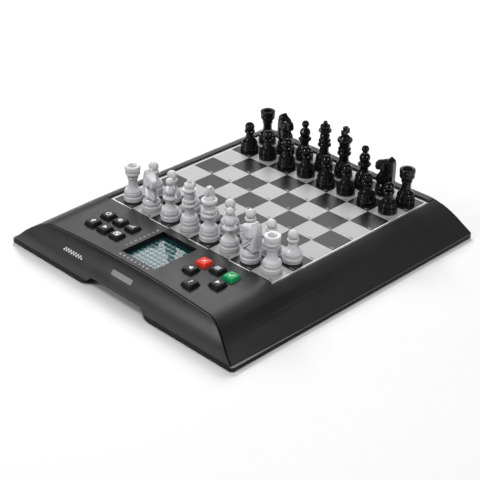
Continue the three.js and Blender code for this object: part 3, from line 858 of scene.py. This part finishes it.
def make_labels():
    """A letter and a number in each square, dark on the light squares and light on the dark ones."""
    dark, light = Marks(), Marks()
    for file in range(8):
        for rank in range(8):
            x = (file - 3) * square - LABEL["x"]
            y = board_front + rank * square + LABEL["y"]
            marks = dark if (file + rank) % 2 else light
            marks.text(f"{FILES[file]}{rank + 1}", LABEL["size"], (x, y, film_high.z + INK))
    dark.make("square_labels_dark", "board_film", print_dark)
    light.make("square_labels_light", "board_film", print_grey)


make_film()
make_labels()

# ---- display

# pitches in the well's width and depth, and each dot's size in pitches
DOTS = {"across": 8.6, "along": 9.4, "width": 0.88, "depth": 0.72}
# middles of the first and last number and letter, and their distance from the well
PRINT = {"size": 1.9, "ranks": (-112.2, -78), "left": 4.4, "files": (-17.6, 15.2), "front": 3.9}


def make_display():
    """A reflective liquid crystal panel with a field of 8 by 8 dots, under a clear window."""
    low, high = module_low, module_high
    width, depth = high.x - low.x, high.y - low.y
    panel = stack([(width, depth, 0.6, height) for height in (low.z, high.z)])
    moved(panel, *middle_of("lcd_module").xy)
    round_edges(panel, 0.15, 2)
    place(panel, "fine_lcd_module", "display_glass", lcd_base, ["lcd_module"])
    dots = Marks()
    pitch = LCD["width"] / DOTS["across"], LCD["depth"] / DOTS["along"]
    half_width, half_depth = DOTS["width"] * pitch[0] / 2, DOTS["depth"] * pitch[1] / 2
    dot = [(half_width * math.cos(a), half_depth * math.sin(a)) for a in circle_angles(24)]
    for i in range(8):
        for j in range(8):
            at = (LCD["x"] + (i - 3.5) * pitch[0], LCD["y"] + (j - 3.5) * pitch[1], high.z + INK)
            dots.outline(dot, at, depth=PRINT_DEPTH / 2)
    # dots lighter than the panel: real pattern, with part of their lightness a painted reflection
    dots.make("display_dots", "display_glass", lcd_dot)
    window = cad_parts["lcd_window"]
    paint(window, make_window())
    window.visible_shadow = False


def make_panel_print():
    """Rank numbers to the left of the display and file letters in front of it."""
    marks = Marks()
    left = LCD["x"] - LCD["width"] / 2 - PRINT["left"]
    front = LCD["y"] - LCD["depth"] / 2 - PRINT["front"]
    ranks, files = np.linspace(*PRINT["ranks"], 8), np.linspace(*PRINT["files"], 8)
    for i in range(8):
        for text, x, y in ((str(i + 1), left, ranks[i]), (FILES[i], files[i], front)):
            marks.text(text, PRINT["size"], (x, y, panel_height(x, y) + INK))
    marks.make("panel_print", "case_top", print_white)


make_display()
make_panel_print()
make_fascia_marks()

# ---- keys

KEY = {"foot": 11.4, "top": 9.9, "rise": 3.0, "flange": 13.6, "stem": 6, "edge": 0.7, "dish": 0.12}
SYMBOL_GROW = 1.45  # how much larger than drawn the keys' symbols are
STROKE = 0.55
LINES = {  # each symbol's lines, each line through two or more points
    "power": [[(0, 0.4), (0, 2)]],
    "light": [[(-0.5, -1), (0.5, -1)], [(-0.4, -1.6), (0.4, -1.6)]],
    "hint": [[(-x, -y), (x, y)] for x, y in ((1.6, 0), (0, 1.6), (1.1, 1.1), (1.1, -1.1))],
    "level": [[(x, -1.4), (x, height)] for x, height in ((-1.5, -0.2), (-0.2, 0.6), (1.1, 1.4))],
    "new_game": [[(1.6 * a, 1.6 * b) for a, b in CORNERS + CORNERS[:1]]],
    "clear": [[(-1.2, -1.2), (1.2, 1.2)], [(-1.2, 1.2), (1.2, -1.2)]],
    "menu": [[(-1.7, y), (1.7, y)] for y in (-1.1, 0, 1.1)],
    "enter": [[(-1.6, 0.1), (-0.5, -1.2), (1.7, 1.3)]],
}
FILLED = {  # their filled outlines
    "play": [[(-1.1, -1.5), (1.6, 0), (-1.1, 1.5)]],
    "arrow_left": [[(1.1, -1.5), (1.1, 1.5), (-1.5, 0)]],
    "arrow_right": [[(-1.1, -1.5), (1.5, 0), (-1.1, 1.5)]],
    "new_game": [
        [(x - 0.725 * a, y - 0.725 * b) for a, b in CORNERS] for x, y in ((-0.725, 0.725), (0.725, -0.725))
    ],
}
RINGS = {"power": (1.7, 0, 120, 300), "light": (1.15, 0.5, 0, 360)}  # radius, height, start and sweep


def key_cap():
    """One key about its own axis, with the panel's top at height 0."""
    top, rise, edge = KEY["top"], KEY["rise"], KEY["edge"]
    layers = [  # side, corner radius and height
        (KEY["stem"], 0.4, -5.2), (KEY["stem"], 0.4, -4.4), (KEY["flange"], 0.8, -4.4),
        (KEY["flange"], 0.8, -3.4), (KEY["foot"], 1.5, -3.4), (KEY["foot"], 1.5, 0.5),
    ]
    for i in range(6):
        angle = math.pi / 2 * i / 5
        side = top - 2 * edge * (1 - math.cos(angle))
        layers.append((side, 1.5 - 0.2 * i / 5, rise - edge * (1 - math.sin(angle))))
    layers += [(top - 3.6, 0.9, rise - KEY["dish"]), (2, 0.5, rise - 0.22)]
    return stack([(side, side, radius, height) for side, radius, height in layers], 6)


def key_mark(kind):
    """A plain symbol for what a key does, about 3.4 across."""
    marks = Marks()
    for points in LINES.get(kind, []):
        for a, b in zip(points, points[1:]):
            marks.stroke(a, b, STROKE)
    for points in FILLED.get(kind, []):
        marks.outline(points)
    if kind in RINGS:
        radius, height, begin, sweep = RINGS[kind]
        marks.ring(radius, radius - STROKE, (0, height, 0), begin, sweep)
    if kind == "help":
        marks.text("?", 3.2, (0, 0, 0))
    return marks


def make_keys():
    """A cap and a symbol on each key's body."""
    cap = in_metres(smooth(key_cap(), 50))
    looks = {"key_clear": ("key_red", key_red), "key_enter": ("key_green", key_green)}
    for name in KEYS:
        slot, look = looks.get(name, ("key_black", key_black))
        middle, top = middle_of(name), box_mm(name)[1].z
        key = link("fine_" + name, cap.data.copy())
        paint(key, look)
        settle(key, name, slot, [name], (middle.x, middle.y, top - KEY["rise"]))
        on_dish = (middle.x, middle.y, top - KEY["dish"])
        key_mark(name[len("key_"):]).make("mark_" + name, slot, print_white, on_dish, SYMBOL_GROW, name)
    bpy.data.objects.remove(cap)


make_keys()

# ---- chess pieces


def rounded(points, steps=5):
    """A (radius, height) profile, rounded at the corners that have a radius as their third number."""
    profile = []
    for i, point in enumerate(points):
        if len(point) == 2 or i in (0, len(points) - 1):
            profile.append(Vector(point[:2]))
            continue
        here = Vector(point[:2])
        before = Vector(points[i - 1][:2]) - here
        after = Vector(points[i + 1][:2]) - here
        half = before.angle(after, math.pi) / 2
        if not 0.01 < half < math.radians(88):
            profile.append(here)
            continue
        reach = min(point[2] / math.tan(half), before.length * 0.48, after.length * 0.48)
        towards = (before.normalized() + after.normalized()).normalized()
        centre = here + towards * (reach / math.cos(half))
        first = here + before.normalized() * reach - centre
        last = here + after.normalized() * reach - centre
        sweep = first.angle_signed(last)
        for k in range(steps + 1):
            turn = -sweep * k / steps
            c, s = math.cos(turn), math.sin(turn)
            profile.append(centre + Vector((first.x * c - first.y * s, first.x * s + first.y * c)))
    return [tuple(v) for v in profile]


def ball(radius, height, start, end=90):
    """Points up a ball's side, from start to end degrees of latitude."""
    return arc(radius, (0, height), start, end, 14)


PLINTH = [
    (0, 0), (8.1, 0, 0.3), (8.45, 0.5, 0.4), (8.5, 1.0, 0.1), (8.3, 1.2, 0.1), (8.3, 1.5, 0.1),
    (8.55, 1.7, 0.2), (8.5, 4.2, 0.7), (7.9, 4.85, 0.1), (7.55, 4.95, 0.1), (7.55, 5.25, 0.1),
    (7.85, 5.4, 0.15), (7.85, 8.1, 0.35), (7.3, 8.55, 0.1),
]
TALL_BELL = [(7.35, 8.9, 0.2), (7.3, 9.9, 1.6), (5.1, 12.1, 1.6)]
ROYAL_BELL = [(7.45, 8.9, 0.2), (7.45, 10.2, 1.2), (6.6, 12.6, 1.4), (4.9, 14.0, 1)]

PAWN = rounded(PLINTH + [
    (7.2, 8.8, 0.2), (7.1, 9.4, 1.2), (4.5, 12.4, 2.5), (3.55, 16.2, 4), (3.6, 18.1, 0.3), (4.5, 18.3, 0.5),
    (4.95, 19.1, 0.5), (4.95, 19.9, 0.5), (4.5, 20.7, 0.5), (3.3, 20.9),
]) + ball(4.5, 24, -43)
ROOK = rounded(PLINTH + TALL_BELL + [
    (4.2, 14.8, 3), (4.1, 19.8, 2), (4.9, 21.0, 0.4), (4.9, 21.8, 0.3), (4.6, 22.1, 0.2),
    (5.5, 24.3, 0.8), (6.5, 25.2, 0.5), (6.75, 26.4, 0.5), (6.5, 27.6, 0.4), (6.1, 27.9, 0.15),
    (6.1, 28.4, 0.15), (6.9, 28.8, 0.3), (7.05, 30.2, 0.5), (7.0, 32.6, 0.8), (6.3, 33.35, 0.7),
    (4.2, 33.2, 0.7), (3.2, 31.9, 0.4), (2.7, 29.9, 0.3), (0, 29.6),
])
BISHOP = rounded(PLINTH + TALL_BELL + [
    (3.8, 14.9, 3), (3.7, 18.6, 0.3), (5.2, 19.0, 0.5), (6.0, 19.9, 0.6), (6.0, 20.8, 0.6),
    (5.1, 21.7, 0.5), (4.4, 21.9, 0.2), (4.3, 22.6, 0.2), (3.6, 22.8),
]) + ball(5.0, 26.7, -40, 62) + ball(3.5, 35.2, -56)
QUEEN = rounded(PLINTH + ROYAL_BELL + [
    (4.3, 15.8, 2), (4.15, 20.6, 0.6), (5.4, 21.5, 0.3), (6.25, 22.3, 0.4), (6.25, 23.4, 0.4),
    (5.2, 24.3, 0.2), (4.9, 24.9, 0.1), (4.9, 25.6, 0.1), (5.6, 26.1, 0.2), (5.65, 27.7, 0.3),
    (4.7, 28.3, 0.2), (4.4, 28.9, 0.2), (4.65, 32.4, 0.8), (3.9, 34.0, 0.5), (3.9, 35.1, 0.2),
    (5.6, 36.0, 0.2), (6.05, 36.6, 0.2), (6.0, 37.7, 0.25), (4.4, 38.0, 0.3), (3.8, 38.7, 0.3),
    (4.5, 40.5, 0.8), (4.3, 42.4, 0.7), (2.6, 43.4, 0.4), (1.5, 43.6),
]) + ball(2.1, 44.7, -40)
KING = rounded(PLINTH + ROYAL_BELL + [
    (4.5, 15.8, 2), (4.3, 20.6, 0.6), (5.6, 21.5, 0.3), (6.35, 22.3, 0.4), (6.35, 23.4, 0.4),
    (5.4, 24.3, 0.2), (5.1, 24.9, 0.1), (5.1, 25.6, 0.1), (5.8, 26.1, 0.2), (5.8, 27.7, 0.3),
    (4.9, 28.3, 0.2), (4.7, 28.9, 0.2), (5.0, 31.4, 0.8), (5.4, 33.0, 0.6), (6.7, 34.6, 0.8),
    (7.0, 35.8, 0.6), (6.8, 37.2, 0.5), (5.8, 37.6, 0.3), (5.0, 37.7, 0.4), (4.3, 39.4, 1.6),
    (2.4, 41.0, 0.6), (0, 41.4),
])
KNIGHT_FOOT = rounded(PLINTH + [(7.2, 8.8, 0.2), (6.9, 9.8, 0.8), (6.1, 11.0, 0.4), (0, 11.2)])

MAN_CREASE = 42  # edges of a chess piece that turn by more degrees stay sharp
NOTCH = {"width": 1.5, "length": 5.4, "heights": (28.6, 32.2)}  # across the rook's rim
SLIT = {  # in the bishop's mitre; angles in degrees
    "width": 0.85, "length": 12, "run": (-3.4, 3.6), "lean": -38, "out": 3.6, "height": 30.2, "faces": -70,
}
LOBES = {"count": 9, "height": 41.2, "reach": 1.3, "swell": 0.085}
CROSS = [(1.9, 40.0), (1.6, 42.5), (4.0, 41.5), (4.2, 46.6), (1.6, 45.3), (2.3, 48.8)]  # its right half
CROSS_HALF = 1.8  # half its thickness


def make_rook():
    rook = lathe(ROOK)
    for degrees in (45, 135):
        notch = turned(block(NOTCH["width"], NOTCH["length"], (0, 0), NOTCH["heights"]), degrees, "Z")
        cut(rook, round_edges(notch, 0.3, 2))
    return smooth(rook, MAN_CREASE)


def make_bishop():
    """The turned body with a slanting slit in its mitre, seen from a little beside the slit."""
    slit = turned(block(SLIT["width"], SLIT["length"], (0, 0), SLIT["run"]), SLIT["lean"], "Y")
    moved(slit, SLIT["out"], 0, SLIT["height"])
    return smooth(turned(cut(lathe(BISHOP), slit), SLIT["faces"], "Z"), MAN_CREASE)


def crown_lobes(angle, height):
    """A ring of lobes round the queen's coronet, strongest at its middle."""
    near = math.exp(-((height - LOBES["height"]) / LOBES["reach"]) ** 2)
    return 1 + LOBES["swell"] * near * math.cos(LOBES["count"] * angle)


def make_king():
    outline = CROSS + [(-x, z) for x, z in CROSS[::-1]]
    cross = round_edges(prism(outline, "X", -CROSS_HALF, CROSS_HALF), 0.3, 2)
    return smooth(union(lathe(KING), cross), MAN_CREASE)


# A knight's head in side view, facing +X: chest, throat, jaw, muzzle, forehead, ears, crest and back.
KNIGHT_HEAD = [
    (6.2, 9.4), (8.2, 10.8), (8.7, 13.0), (7.7, 16.2), (6.0, 19.4), (4.4, 22.0), (4.9, 23.0), (6.6, 22.7),
    (8.2, 23.1), (9.1, 24.6), (9.3, 27.0), (9.0, 29.4), (7.9, 30.5), (4.0, 31.8), (0.0, 33.3),
    (-2.2, 34.4), (-3.4, 36.0), (-5.0, 36.2), (-6.2, 34.8), (-7.6, 33.4), (-8.3, 30.2), (-8.5, 23),
    (-8.3, 15), (-7.5, 9.4),
]
HEAD_HALF = 5  # half thickness before the relief is worked in
KNIGHT_TURNS = {"b1": -22, "g1": 190, "b8": -14, "g8": 195}  # degrees, roughly inwards


def curve_through(points, steps=4):
    """A smooth closed line through the points."""
    line = []
    count = len(points)
    for i in range(count):
        p0, p1, p2, p3 = (Vector(points[(i + k) % count]) for k in (-1, 0, 1, 2))
        for j in range(steps):
            t = j / steps
            bend = (2 * p0 - 5 * p1 + 4 * p2 - p3) * t**2 + (3 * p1 - p0 - 3 * p2 + p3) * t**3
            line.append(tuple(0.5 * (2 * p1 + (p2 - p0) * t + bend)))
    return line


def knight_relief(x, z, edge):
    """Half thickness of the knight's head in its side view; edge is the distance to the outline."""
    neck = np.interp(z, [9, 13, 19, 25, 29, 33, 37], [6.6, 6.3, 5.6, 4.9, 4.3, 3.7, 2.4])
    snout = np.interp(x, [-1, 3, 9.3], [1, 0.78, 0.52]) * (z > 22.4) + (z <= 22.4)
    # flat facets meet along the chest; the back and the forehead are broad and flat
    chest = np.clip((x - 1) / 3, 0, 1) * np.clip((23 - z) / 2, 0, 1)
    back = np.clip((-3 - x) / 2, 0, 1)
    full = np.minimum(neck * snout, (2.5 + 1.3 * back) * (1 - 0.7 * chest) + (0.9 + 0.5 * chest) * edge)
    # the cheek is a raised plane that ends along the jaw
    cheek = np.clip(1.5 - np.hypot((x + 0.5) / 4.2, (z - 27.4) / 4.0), 0, 0.35)
    full += 1.8 * cheek
    # locks of the mane lie on the side of the neck, in front of an arc that bounds the smooth back
    arc = np.interp(z, [8, 12.4, 19.6, 27.6], [2.2, -1.0, -4.0, -4.6])
    mane = np.clip((x - arc) / 0.5, 0, 1) * np.clip((22.6 - 0.3 * x - z) / 0.6, 0, 1)
    mane *= np.clip((edge - 0.4) / 0.6, 0, 1)
    lock = 2 * np.abs(((x + z) * 0.7071 / 2.3) % 1 - 0.5)
    full -= mane * (0.5 + 1.5 * (1 - lock))
    # the neck stands inside the rim of its foot
    full = np.minimum(full, np.sqrt(np.maximum(np.interp(z, [9.4, 14], [7.5, 10]) ** 2 - x * x, 0.2)))
    # eye, mouth and nostril
    full += 0.5 * np.exp(-(((x - 1.6) / 1.1) ** 2 + ((z - 29.9) / 0.7) ** 2))
    full -= 0.6 * np.exp(-((((x - 6.0) * 0.3 + z - 25.2) / 0.4) ** 2)) * (x > 5.4)
    full -= 0.5 * np.exp(-(((x - 8.1) / 0.6) ** 2 + ((z - 28.0) / 0.6) ** 2))
    return np.maximum(full, 0.4)


def make_knight():
    """A round foot and a head: a thick outline, meshed evenly and then squeezed to its relief."""
    outline = curve_through(KNIGHT_HEAD)
    head = prism(outline, "Y", -HEAD_HALF, HEAD_HALF)
    modified(head, "REMESH", mode="VOXEL", voxel_size=0.34)
    places = np.array([v.co for v in head.data.vertices], float)
    side_view = places[:, [0, 2]]
    line = np.array(outline)
    edge = np.full(len(places), np.inf)
    for start, run in zip(line, np.roll(line, -1, axis=0) - line):
        part = np.clip(((side_view - start) @ run) / (run @ run), 0, 1)
        edge = np.minimum(edge, np.linalg.norm(side_view - (start + part[:, None] * run), axis=1))
    edge[np.abs(places[:, 1]) < HEAD_HALF - 0.3] = 0
    places[:, 1] *= knight_relief(places[:, 0], places[:, 2], edge) / HEAD_HALF
    head.data.vertices.foreach_set("co", places.astype(np.float32).ravel())
    modified(head, "SMOOTH", factor=0.5, iterations=2)
    between_ears = prism([(-1.1, 40), (1.1, 40), (0, 33.9)], "X", -6.6, 0)
    return smooth(union(lathe(KNIGHT_FOOT), cut(head, between_ears)), 50)


def make_men():
    """Every chess piece on its square; those of one side and kind share a mesh."""
    shapes = {
        "pawn": smooth(lathe(PAWN), MAN_CREASE),
        "rook": make_rook(),
        "bishop": make_bishop(),
        "queen": smooth(lathe(QUEEN, 90, crown_lobes), MAN_CREASE),
        "king": make_king(),
        "knight": make_knight(),
    }
    meshes = {}
    for side, look in (("white", piece_white), ("black", piece_black)):
        for kind, shape in shapes.items():
            twin = link(f"{side}_{kind}", shape.data.copy())
            paint(in_metres(twin), look)
            meshes[side, kind] = twin.data
            bpy.data.objects.remove(twin)
    for name in MEN:
        side, kind, place_name = name.split("_")
        file, rank = FILES.index(place_name[0].upper()), int(place_name[1])
        at = ((file - 3.5) * square, board_front + (rank - 0.5) * square, box_mm(name)[0].z)
        turn = 180 if kind == "bishop" and file > 3 else KNIGHT_TURNS.get(place_name, 0)
        man = link("fine_" + name, meshes[side, kind])
        settle(man, name, f"piece_{side}", [name], at, math.radians(turn))
    for shape in shapes.values():
        bpy.data.objects.remove(shape)


make_men()

# ---- underside, battery bay and inner parts

DOOR = {"gap": 0.6, "thickness": 2, "grip": 9, "groove": 1.2, "reach": 14, "pitch": 3}
CELL = {"radius": 7.1, "length": 48.5, "nub": 2.6, "nub_length": 1.2, "band": 12}
JACK = {
    "width": 10, "height": 11, "depth": 13, "nose": 4, "nose_length": 4.2, "bore": 3.2, "bore_depth": 12,
    "pin": 1.05,
}
SPRING = {"turns": 3.5, "wide": 4.3, "narrow": 2.2, "wire": 0.4}
CONTACT = {"thickness": 0.4, "width": 11, "height": 10, "inset": 0.25, "dimple": 2.2}
HEAD = {"radius": 3.1, "shank": 1.45, "cross": 3.4, "slot": 0.75}  # of a screw


def make_door():
    """The battery door, with three finger grooves and an arrow at its front edge."""
    grip = BAY["y"] - BAY["width"] / 2 + DOOR["grip"]
    width, depth = BAY["length"] - 2 * DOOR["gap"], BAY["width"] - 2 * DOOR["gap"]
    outline = rounded_rectangle(width, depth, 1)
    door = moved(prism(outline, "Z", case_bottom, case_bottom + DOOR["thickness"]), 0, BAY["y"])
    for i in (-1, 0, 1):
        at = (0, grip + i * DOOR["pitch"])
        cut(door, block(DOOR["reach"], DOOR["groove"], at, (case_bottom - 1, case_bottom + 0.6)))
    arrow = prism([(-3, 5), (3, 5), (0, 8.5)], "Z", case_bottom - 1, case_bottom + 0.35)
    cut(door, moved(arrow, 0, grip))
    round_edges(door, 0.18, 2)
    place(door, "fine_battery_door", "case_bottom", case_bottom_look, ["battery_door"], body="battery_door")


def make_foot(name):
    """A rubber foot: a ring to stand on round a shallow dish."""
    rim, top, middle = FOOT["radius"], box_mm(name)[1].z, middle_of(name)
    foot = lathe(rounded([
        (0, 0.35), (3.4, 0.35, 0.2), (3.9, 0, 0.2), (rim - 0.5, 0, 0.5), (rim, 0.7, 0.4), (rim, top, 0.2),
        (0, top),
    ]))
    place(smooth(foot, 35), "fine_" + name, "foot_rubber", rubber, [name], (middle.x, middle.y, 0))


def make_cell(name):
    """A plain cell: printed sleeve with a band, bare steel at both ends."""
    radius, length, nub, band = (CELL[key] for key in ("radius", "length", "nub", "band"))
    tip = length + CELL["nub_length"]
    shoulder = length - 0.4
    cell = lathe(rounded([
        (0, 0.25), (4.4, 0.25, 0.2), (4.9, 0, 0.2), (6.3, 0, 0.3), (6.7, 0.5, 0.2), (radius, 0.7, 0.15),
        (radius, band), (radius, band + 0.01), (radius, length - 0.3, 0.5), (6.2, length, 0.2),
        (5.9, shoulder, 0.2), (3.1, shoulder, 0.2), (nub, length, 0.3), (nub, tip, 0.4), (0, tip),
    ]), 48)
    towards = 1 if box_mm(name)[1].x > -box_mm(name)[0].x else -1
    moved(turned(smooth(cell, 35), towards * 90, "Y"), -towards * length / 2)
    middle = middle_of(name)
    looks = [sleeve, sleeve_band, steel]
    place(cell, "fine_" + name, "cell_sleeve", looks, [name], (0, middle.y, middle.z))
    for face in cell.data.polygons:
        along = face.center.x / MM * towards + length / 2
        out = math.hypot(face.center.y, face.center.z) / MM
        bare = along < 0.65 or along > length - 0.2 or out < 6
        face.material_index = 2 if bare else int(along > band)
    return towards


def coil(length):
    """A conical wire spring along X, with its wide end at 0."""
    count = int(SPRING["turns"] * 20)
    points = []
    for i in range(count + 1):
        part = i / count
        angle = 2 * math.pi * SPRING["turns"] * part
        reach = SPRING["wide"] + (SPRING["narrow"] - SPRING["wide"]) * part
        for around in circle_angles(8):
            out = reach + SPRING["wire"] * math.cos(around)
            along = length * part + SPRING["wire"] * math.sin(around)
            points.append((along, out * math.cos(angle), out * math.sin(angle)))
    return smooth(new_object(points, tube_faces(8, count + 1)), 60)


def make_contacts(cell_ends):
    """A spring at each cell's flat end and a pressed plate at its nub, in the ends of the battery bay."""
    wall = BAY["length"] / 2
    room = wall - CELL["length"] / 2  # beside a cell's body
    for name, towards in cell_ends.items():
        middle = middle_of(name)
        at = (0, middle.y, middle.z)
        for side in (-1, 1):
            at_wall = (side * (wall - CONTACT["inset"]), 0)
            half = CONTACT["height"] / 2
            plate = block(CONTACT["thickness"], CONTACT["width"], at_wall, (-half, half))
            if side == towards:
                dimple = disc(CONTACT["dimple"], (0, 0), (-0.1, room - CELL["nub_length"] - 0.4), 24)
                union(plate, moved(turned(dimple, -side * 90, "Y"), side * (wall - 0.2)))
            round_edges(plate, 0.12, 2)
            label = "plus" if side == towards else "minus"
            place(plate, f"contact_{label}_{name[-1]}", "case_bottom", steel, at=at)
        spring = turned(coil(room - 1.2), 0 if towards > 0 else 180, "Z")
        moved(spring, -towards * (wall - 0.6))
        place(spring, "contact_spring_" + name[-1], "case_bottom", steel, at=at)


def make_jack():
    """A barrel socket: a block behind the back wall, a nose through it, and a pin in the bore."""
    middle = middle_of("power_jack")
    mouth = box_mm("power_jack")[1].y
    face = mouth - JACK["nose_length"]
    bottom = mouth - JACK["bore_depth"]
    at = (middle.x, middle.z)
    outline = [(at[0] + a * JACK["width"] / 2, at[1] + b * JACK["height"] / 2) for a, b in CORNERS]
    body = prism(outline, "Y", face - JACK["depth"], face)
    union(body, rod(JACK["nose"], at, (face - 1, mouth)))
    cut(body, rod(JACK["bore"], at, (bottom, mouth + OVER)))
    round_edges(body, 0.25, 2)
    place(body, "fine_power_jack", "jack_plastic", jack_black, ["power_jack"])
    pin = rod(JACK["pin"], at, (bottom - 0.5, mouth - 1.6), 32)
    place(round_edges(pin, 0.35, 3), "jack_pin", "jack_plastic", steel)


def make_screws():
    """A pan-head screw with a cross recess in each screw well, its head facing down."""
    seat, tip = case_bottom + SCREW["seat"], case_bottom + SCREW["height"] - 0.3
    radius, shank, cross, slot = HEAD.values()
    screw = lathe(rounded([
        (0, seat - 2.0), (1.6, seat - 1.95), (2.8, seat - 1.5, 0.6), (radius, seat - 0.7, 0.3),
        (radius, seat, 0.1), (shank, seat, 0.1), (shank, tip, 0.2), (0, tip),
    ]), 40)
    for width, depth in ((cross, slot), (slot, cross)):
        cut(screw, block(width, depth, (0, 0), (seat - 3, seat - 0.9)))
    paint(in_metres(smooth(screw, 35)), steel)
    for i, (x, y) in enumerate(screw_places):
        twin = link(f"screw_{i + 1}", screw.data)
        settle(twin, "case", "case_bottom", at=(x, y, 0), turn=math.radians(37 * i))
    bpy.data.objects.remove(screw)


def keep_node(name, material, width):
    """Keeps a hidden CAD part, with its edges broken and a material of its own."""
    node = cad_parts[name]
    add_modifier(node, "BEVEL", width=width * MM, segments=2, limit_method="ANGLE")
    paint(node, material)


make_door()
for name in FEET:
    make_foot(name)
make_contacts({name: make_cell(name) for name in CELLS})
make_jack()
make_screws()
keep_node("main_board", circuit, 0.15)
keep_node("keypad_mat", silicone, 0.2)

# ---- floor, light and camera

# directions in degrees, the target in metres on the board, and the distance in squares
VIEW = {
    "azimuth": 44.732, "elevation": 29.777, "roll": 0.838, "target": (0.03156, -0.03651), "distance": 45.403,
    "lens": 98.6,
}
LIGHTS = (  # name, place, target, width, height and power; the keys leave no reflection
    ("key_back", (-0.85, 0.7, 0.95), (0, 0, 0), 0.6, 0.6, 36),
    ("key_front", (0.35, -0.6, 1.4), (0, 0, 0), 0.6, 0.6, 18),
    ("left", (-0.55, -1.5, 0.75), (0.05, -0.14, 0), 0.7, 0.5, 9),
    ("right", (1.35, 0.1, 0.9), (0, 0, 0), 0.2, 0.3, 8),
    ("glint", (-0.5, -1.2, 1.0), (0, 0, 0), 0.15, 0.25, 5),
)
AROUND = 0.12  # strength of the studio's walls
BACKDROP = 2.8
BACKDROP_EDGES = (  # the backdrop fades in along each direction, between two cosines
    ((0, 0, 1), 0.4, 0.5), ((-1, 0, 0), 0.28, 0.5), ((0, 1, 0), 0.2, 0.45),
)


def make_floor():
    size = 12  # metres, from the middle
    floor = new_object([(a * size, b * size, 0) for a, b in CORNERS], [(0, 1, 2, 3)], "floor")
    n = Look("floor", (0.45, 0.45, 0.45), 0.9, 0.0)
    pale = n.mix(n.spread(n.noise(400, 2), 0, 1), (0.445, 0.445, 0.445), (0.455, 0.455, 0.455))
    n.set({"Base Color": pale})
    paint(floor, n.material)


def area_light(name, at, target, width, height, power):
    """A rectangular lamp at a point, turned to a target; places in metres."""
    lamp = bpy.data.lights.new(name, "AREA")
    lamp.shape = "RECTANGLE"
    lamp.size = width
    lamp.size_y = height
    lamp.energy = power
    made = link(name, lamp)
    made.location = at
    made.rotation_mode = "QUATERNION"
    made.rotation_quaternion = (Vector(at) - Vector(target)).to_track_quat("Z", "Y")
    made.visible_camera = False
    made.visible_transmission = False
    made.visible_glossy = not name.startswith("key_")


def make_world():
    """A dim studio with a bright backdrop behind the set, which its top faces mirror."""
    world = bpy.data.worlds.new("studio")
    bpy.context.scene.world = world
    world.cycles_visibility.transmission = False
    studio = Tree(world)
    looking = studio.add("ShaderNodeTexCoord").outputs["Generated"]
    seen = 1
    for direction, start, end in BACKDROP_EDGES:
        along = studio.add("ShaderNodeVectorMath", {0: looking, 1: direction}, operation="DOT_PRODUCT")
        inputs = {"Value": along.outputs["Value"], "From Min": start, "From Max": end, "To Max": seen}
        seen = studio.add("ShaderNodeMapRange", inputs, interpolation_type="SMOOTHSTEP").outputs["Result"]
    level = studio.add("ShaderNodeMapRange", {"Value": seen, "To Min": AROUND, "To Max": BACKDROP})
    background = world.node_tree.nodes["Background"]
    studio.feed(background, {"Color": (1, 1, 1, 1), "Strength": level.outputs["Result"]})


def make_camera():
    """A camera placed by its direction from the target; its roll levels the picture."""
    azimuth, elevation, roll = (math.radians(VIEW[key]) for key in ("azimuth", "elevation", "roll"))
    flat = Vector((math.sin(azimuth), -math.cos(azimuth), 0)) * math.cos(elevation)
    back = flat + Vector((0, 0, math.sin(elevation)))
    level = Vector((math.cos(azimuth), math.sin(azimuth), 0))
    upright = back.cross(level)
    right = math.cos(roll) * level + math.sin(roll) * upright
    up = math.cos(roll) * upright - math.sin(roll) * level
    camera = link("camera", bpy.data.cameras.new("camera"))
    camera.data.lens = VIEW["lens"]
    camera.data.sensor_width = 36
    stand = Vector((*VIEW["target"], board_z * MM)) + back * VIEW["distance"] * square * MM
    turn = Matrix((right, up, back)).transposed().to_4x4()
    camera.matrix_world = Matrix.Translation(stand) @ turn
    bpy.context.scene.camera = camera


make_floor()
make_world()
for light in LIGHTS:
    area_light(*light)
make_camera()
bpy.context.scene.view_settings.view_transform = "Standard"
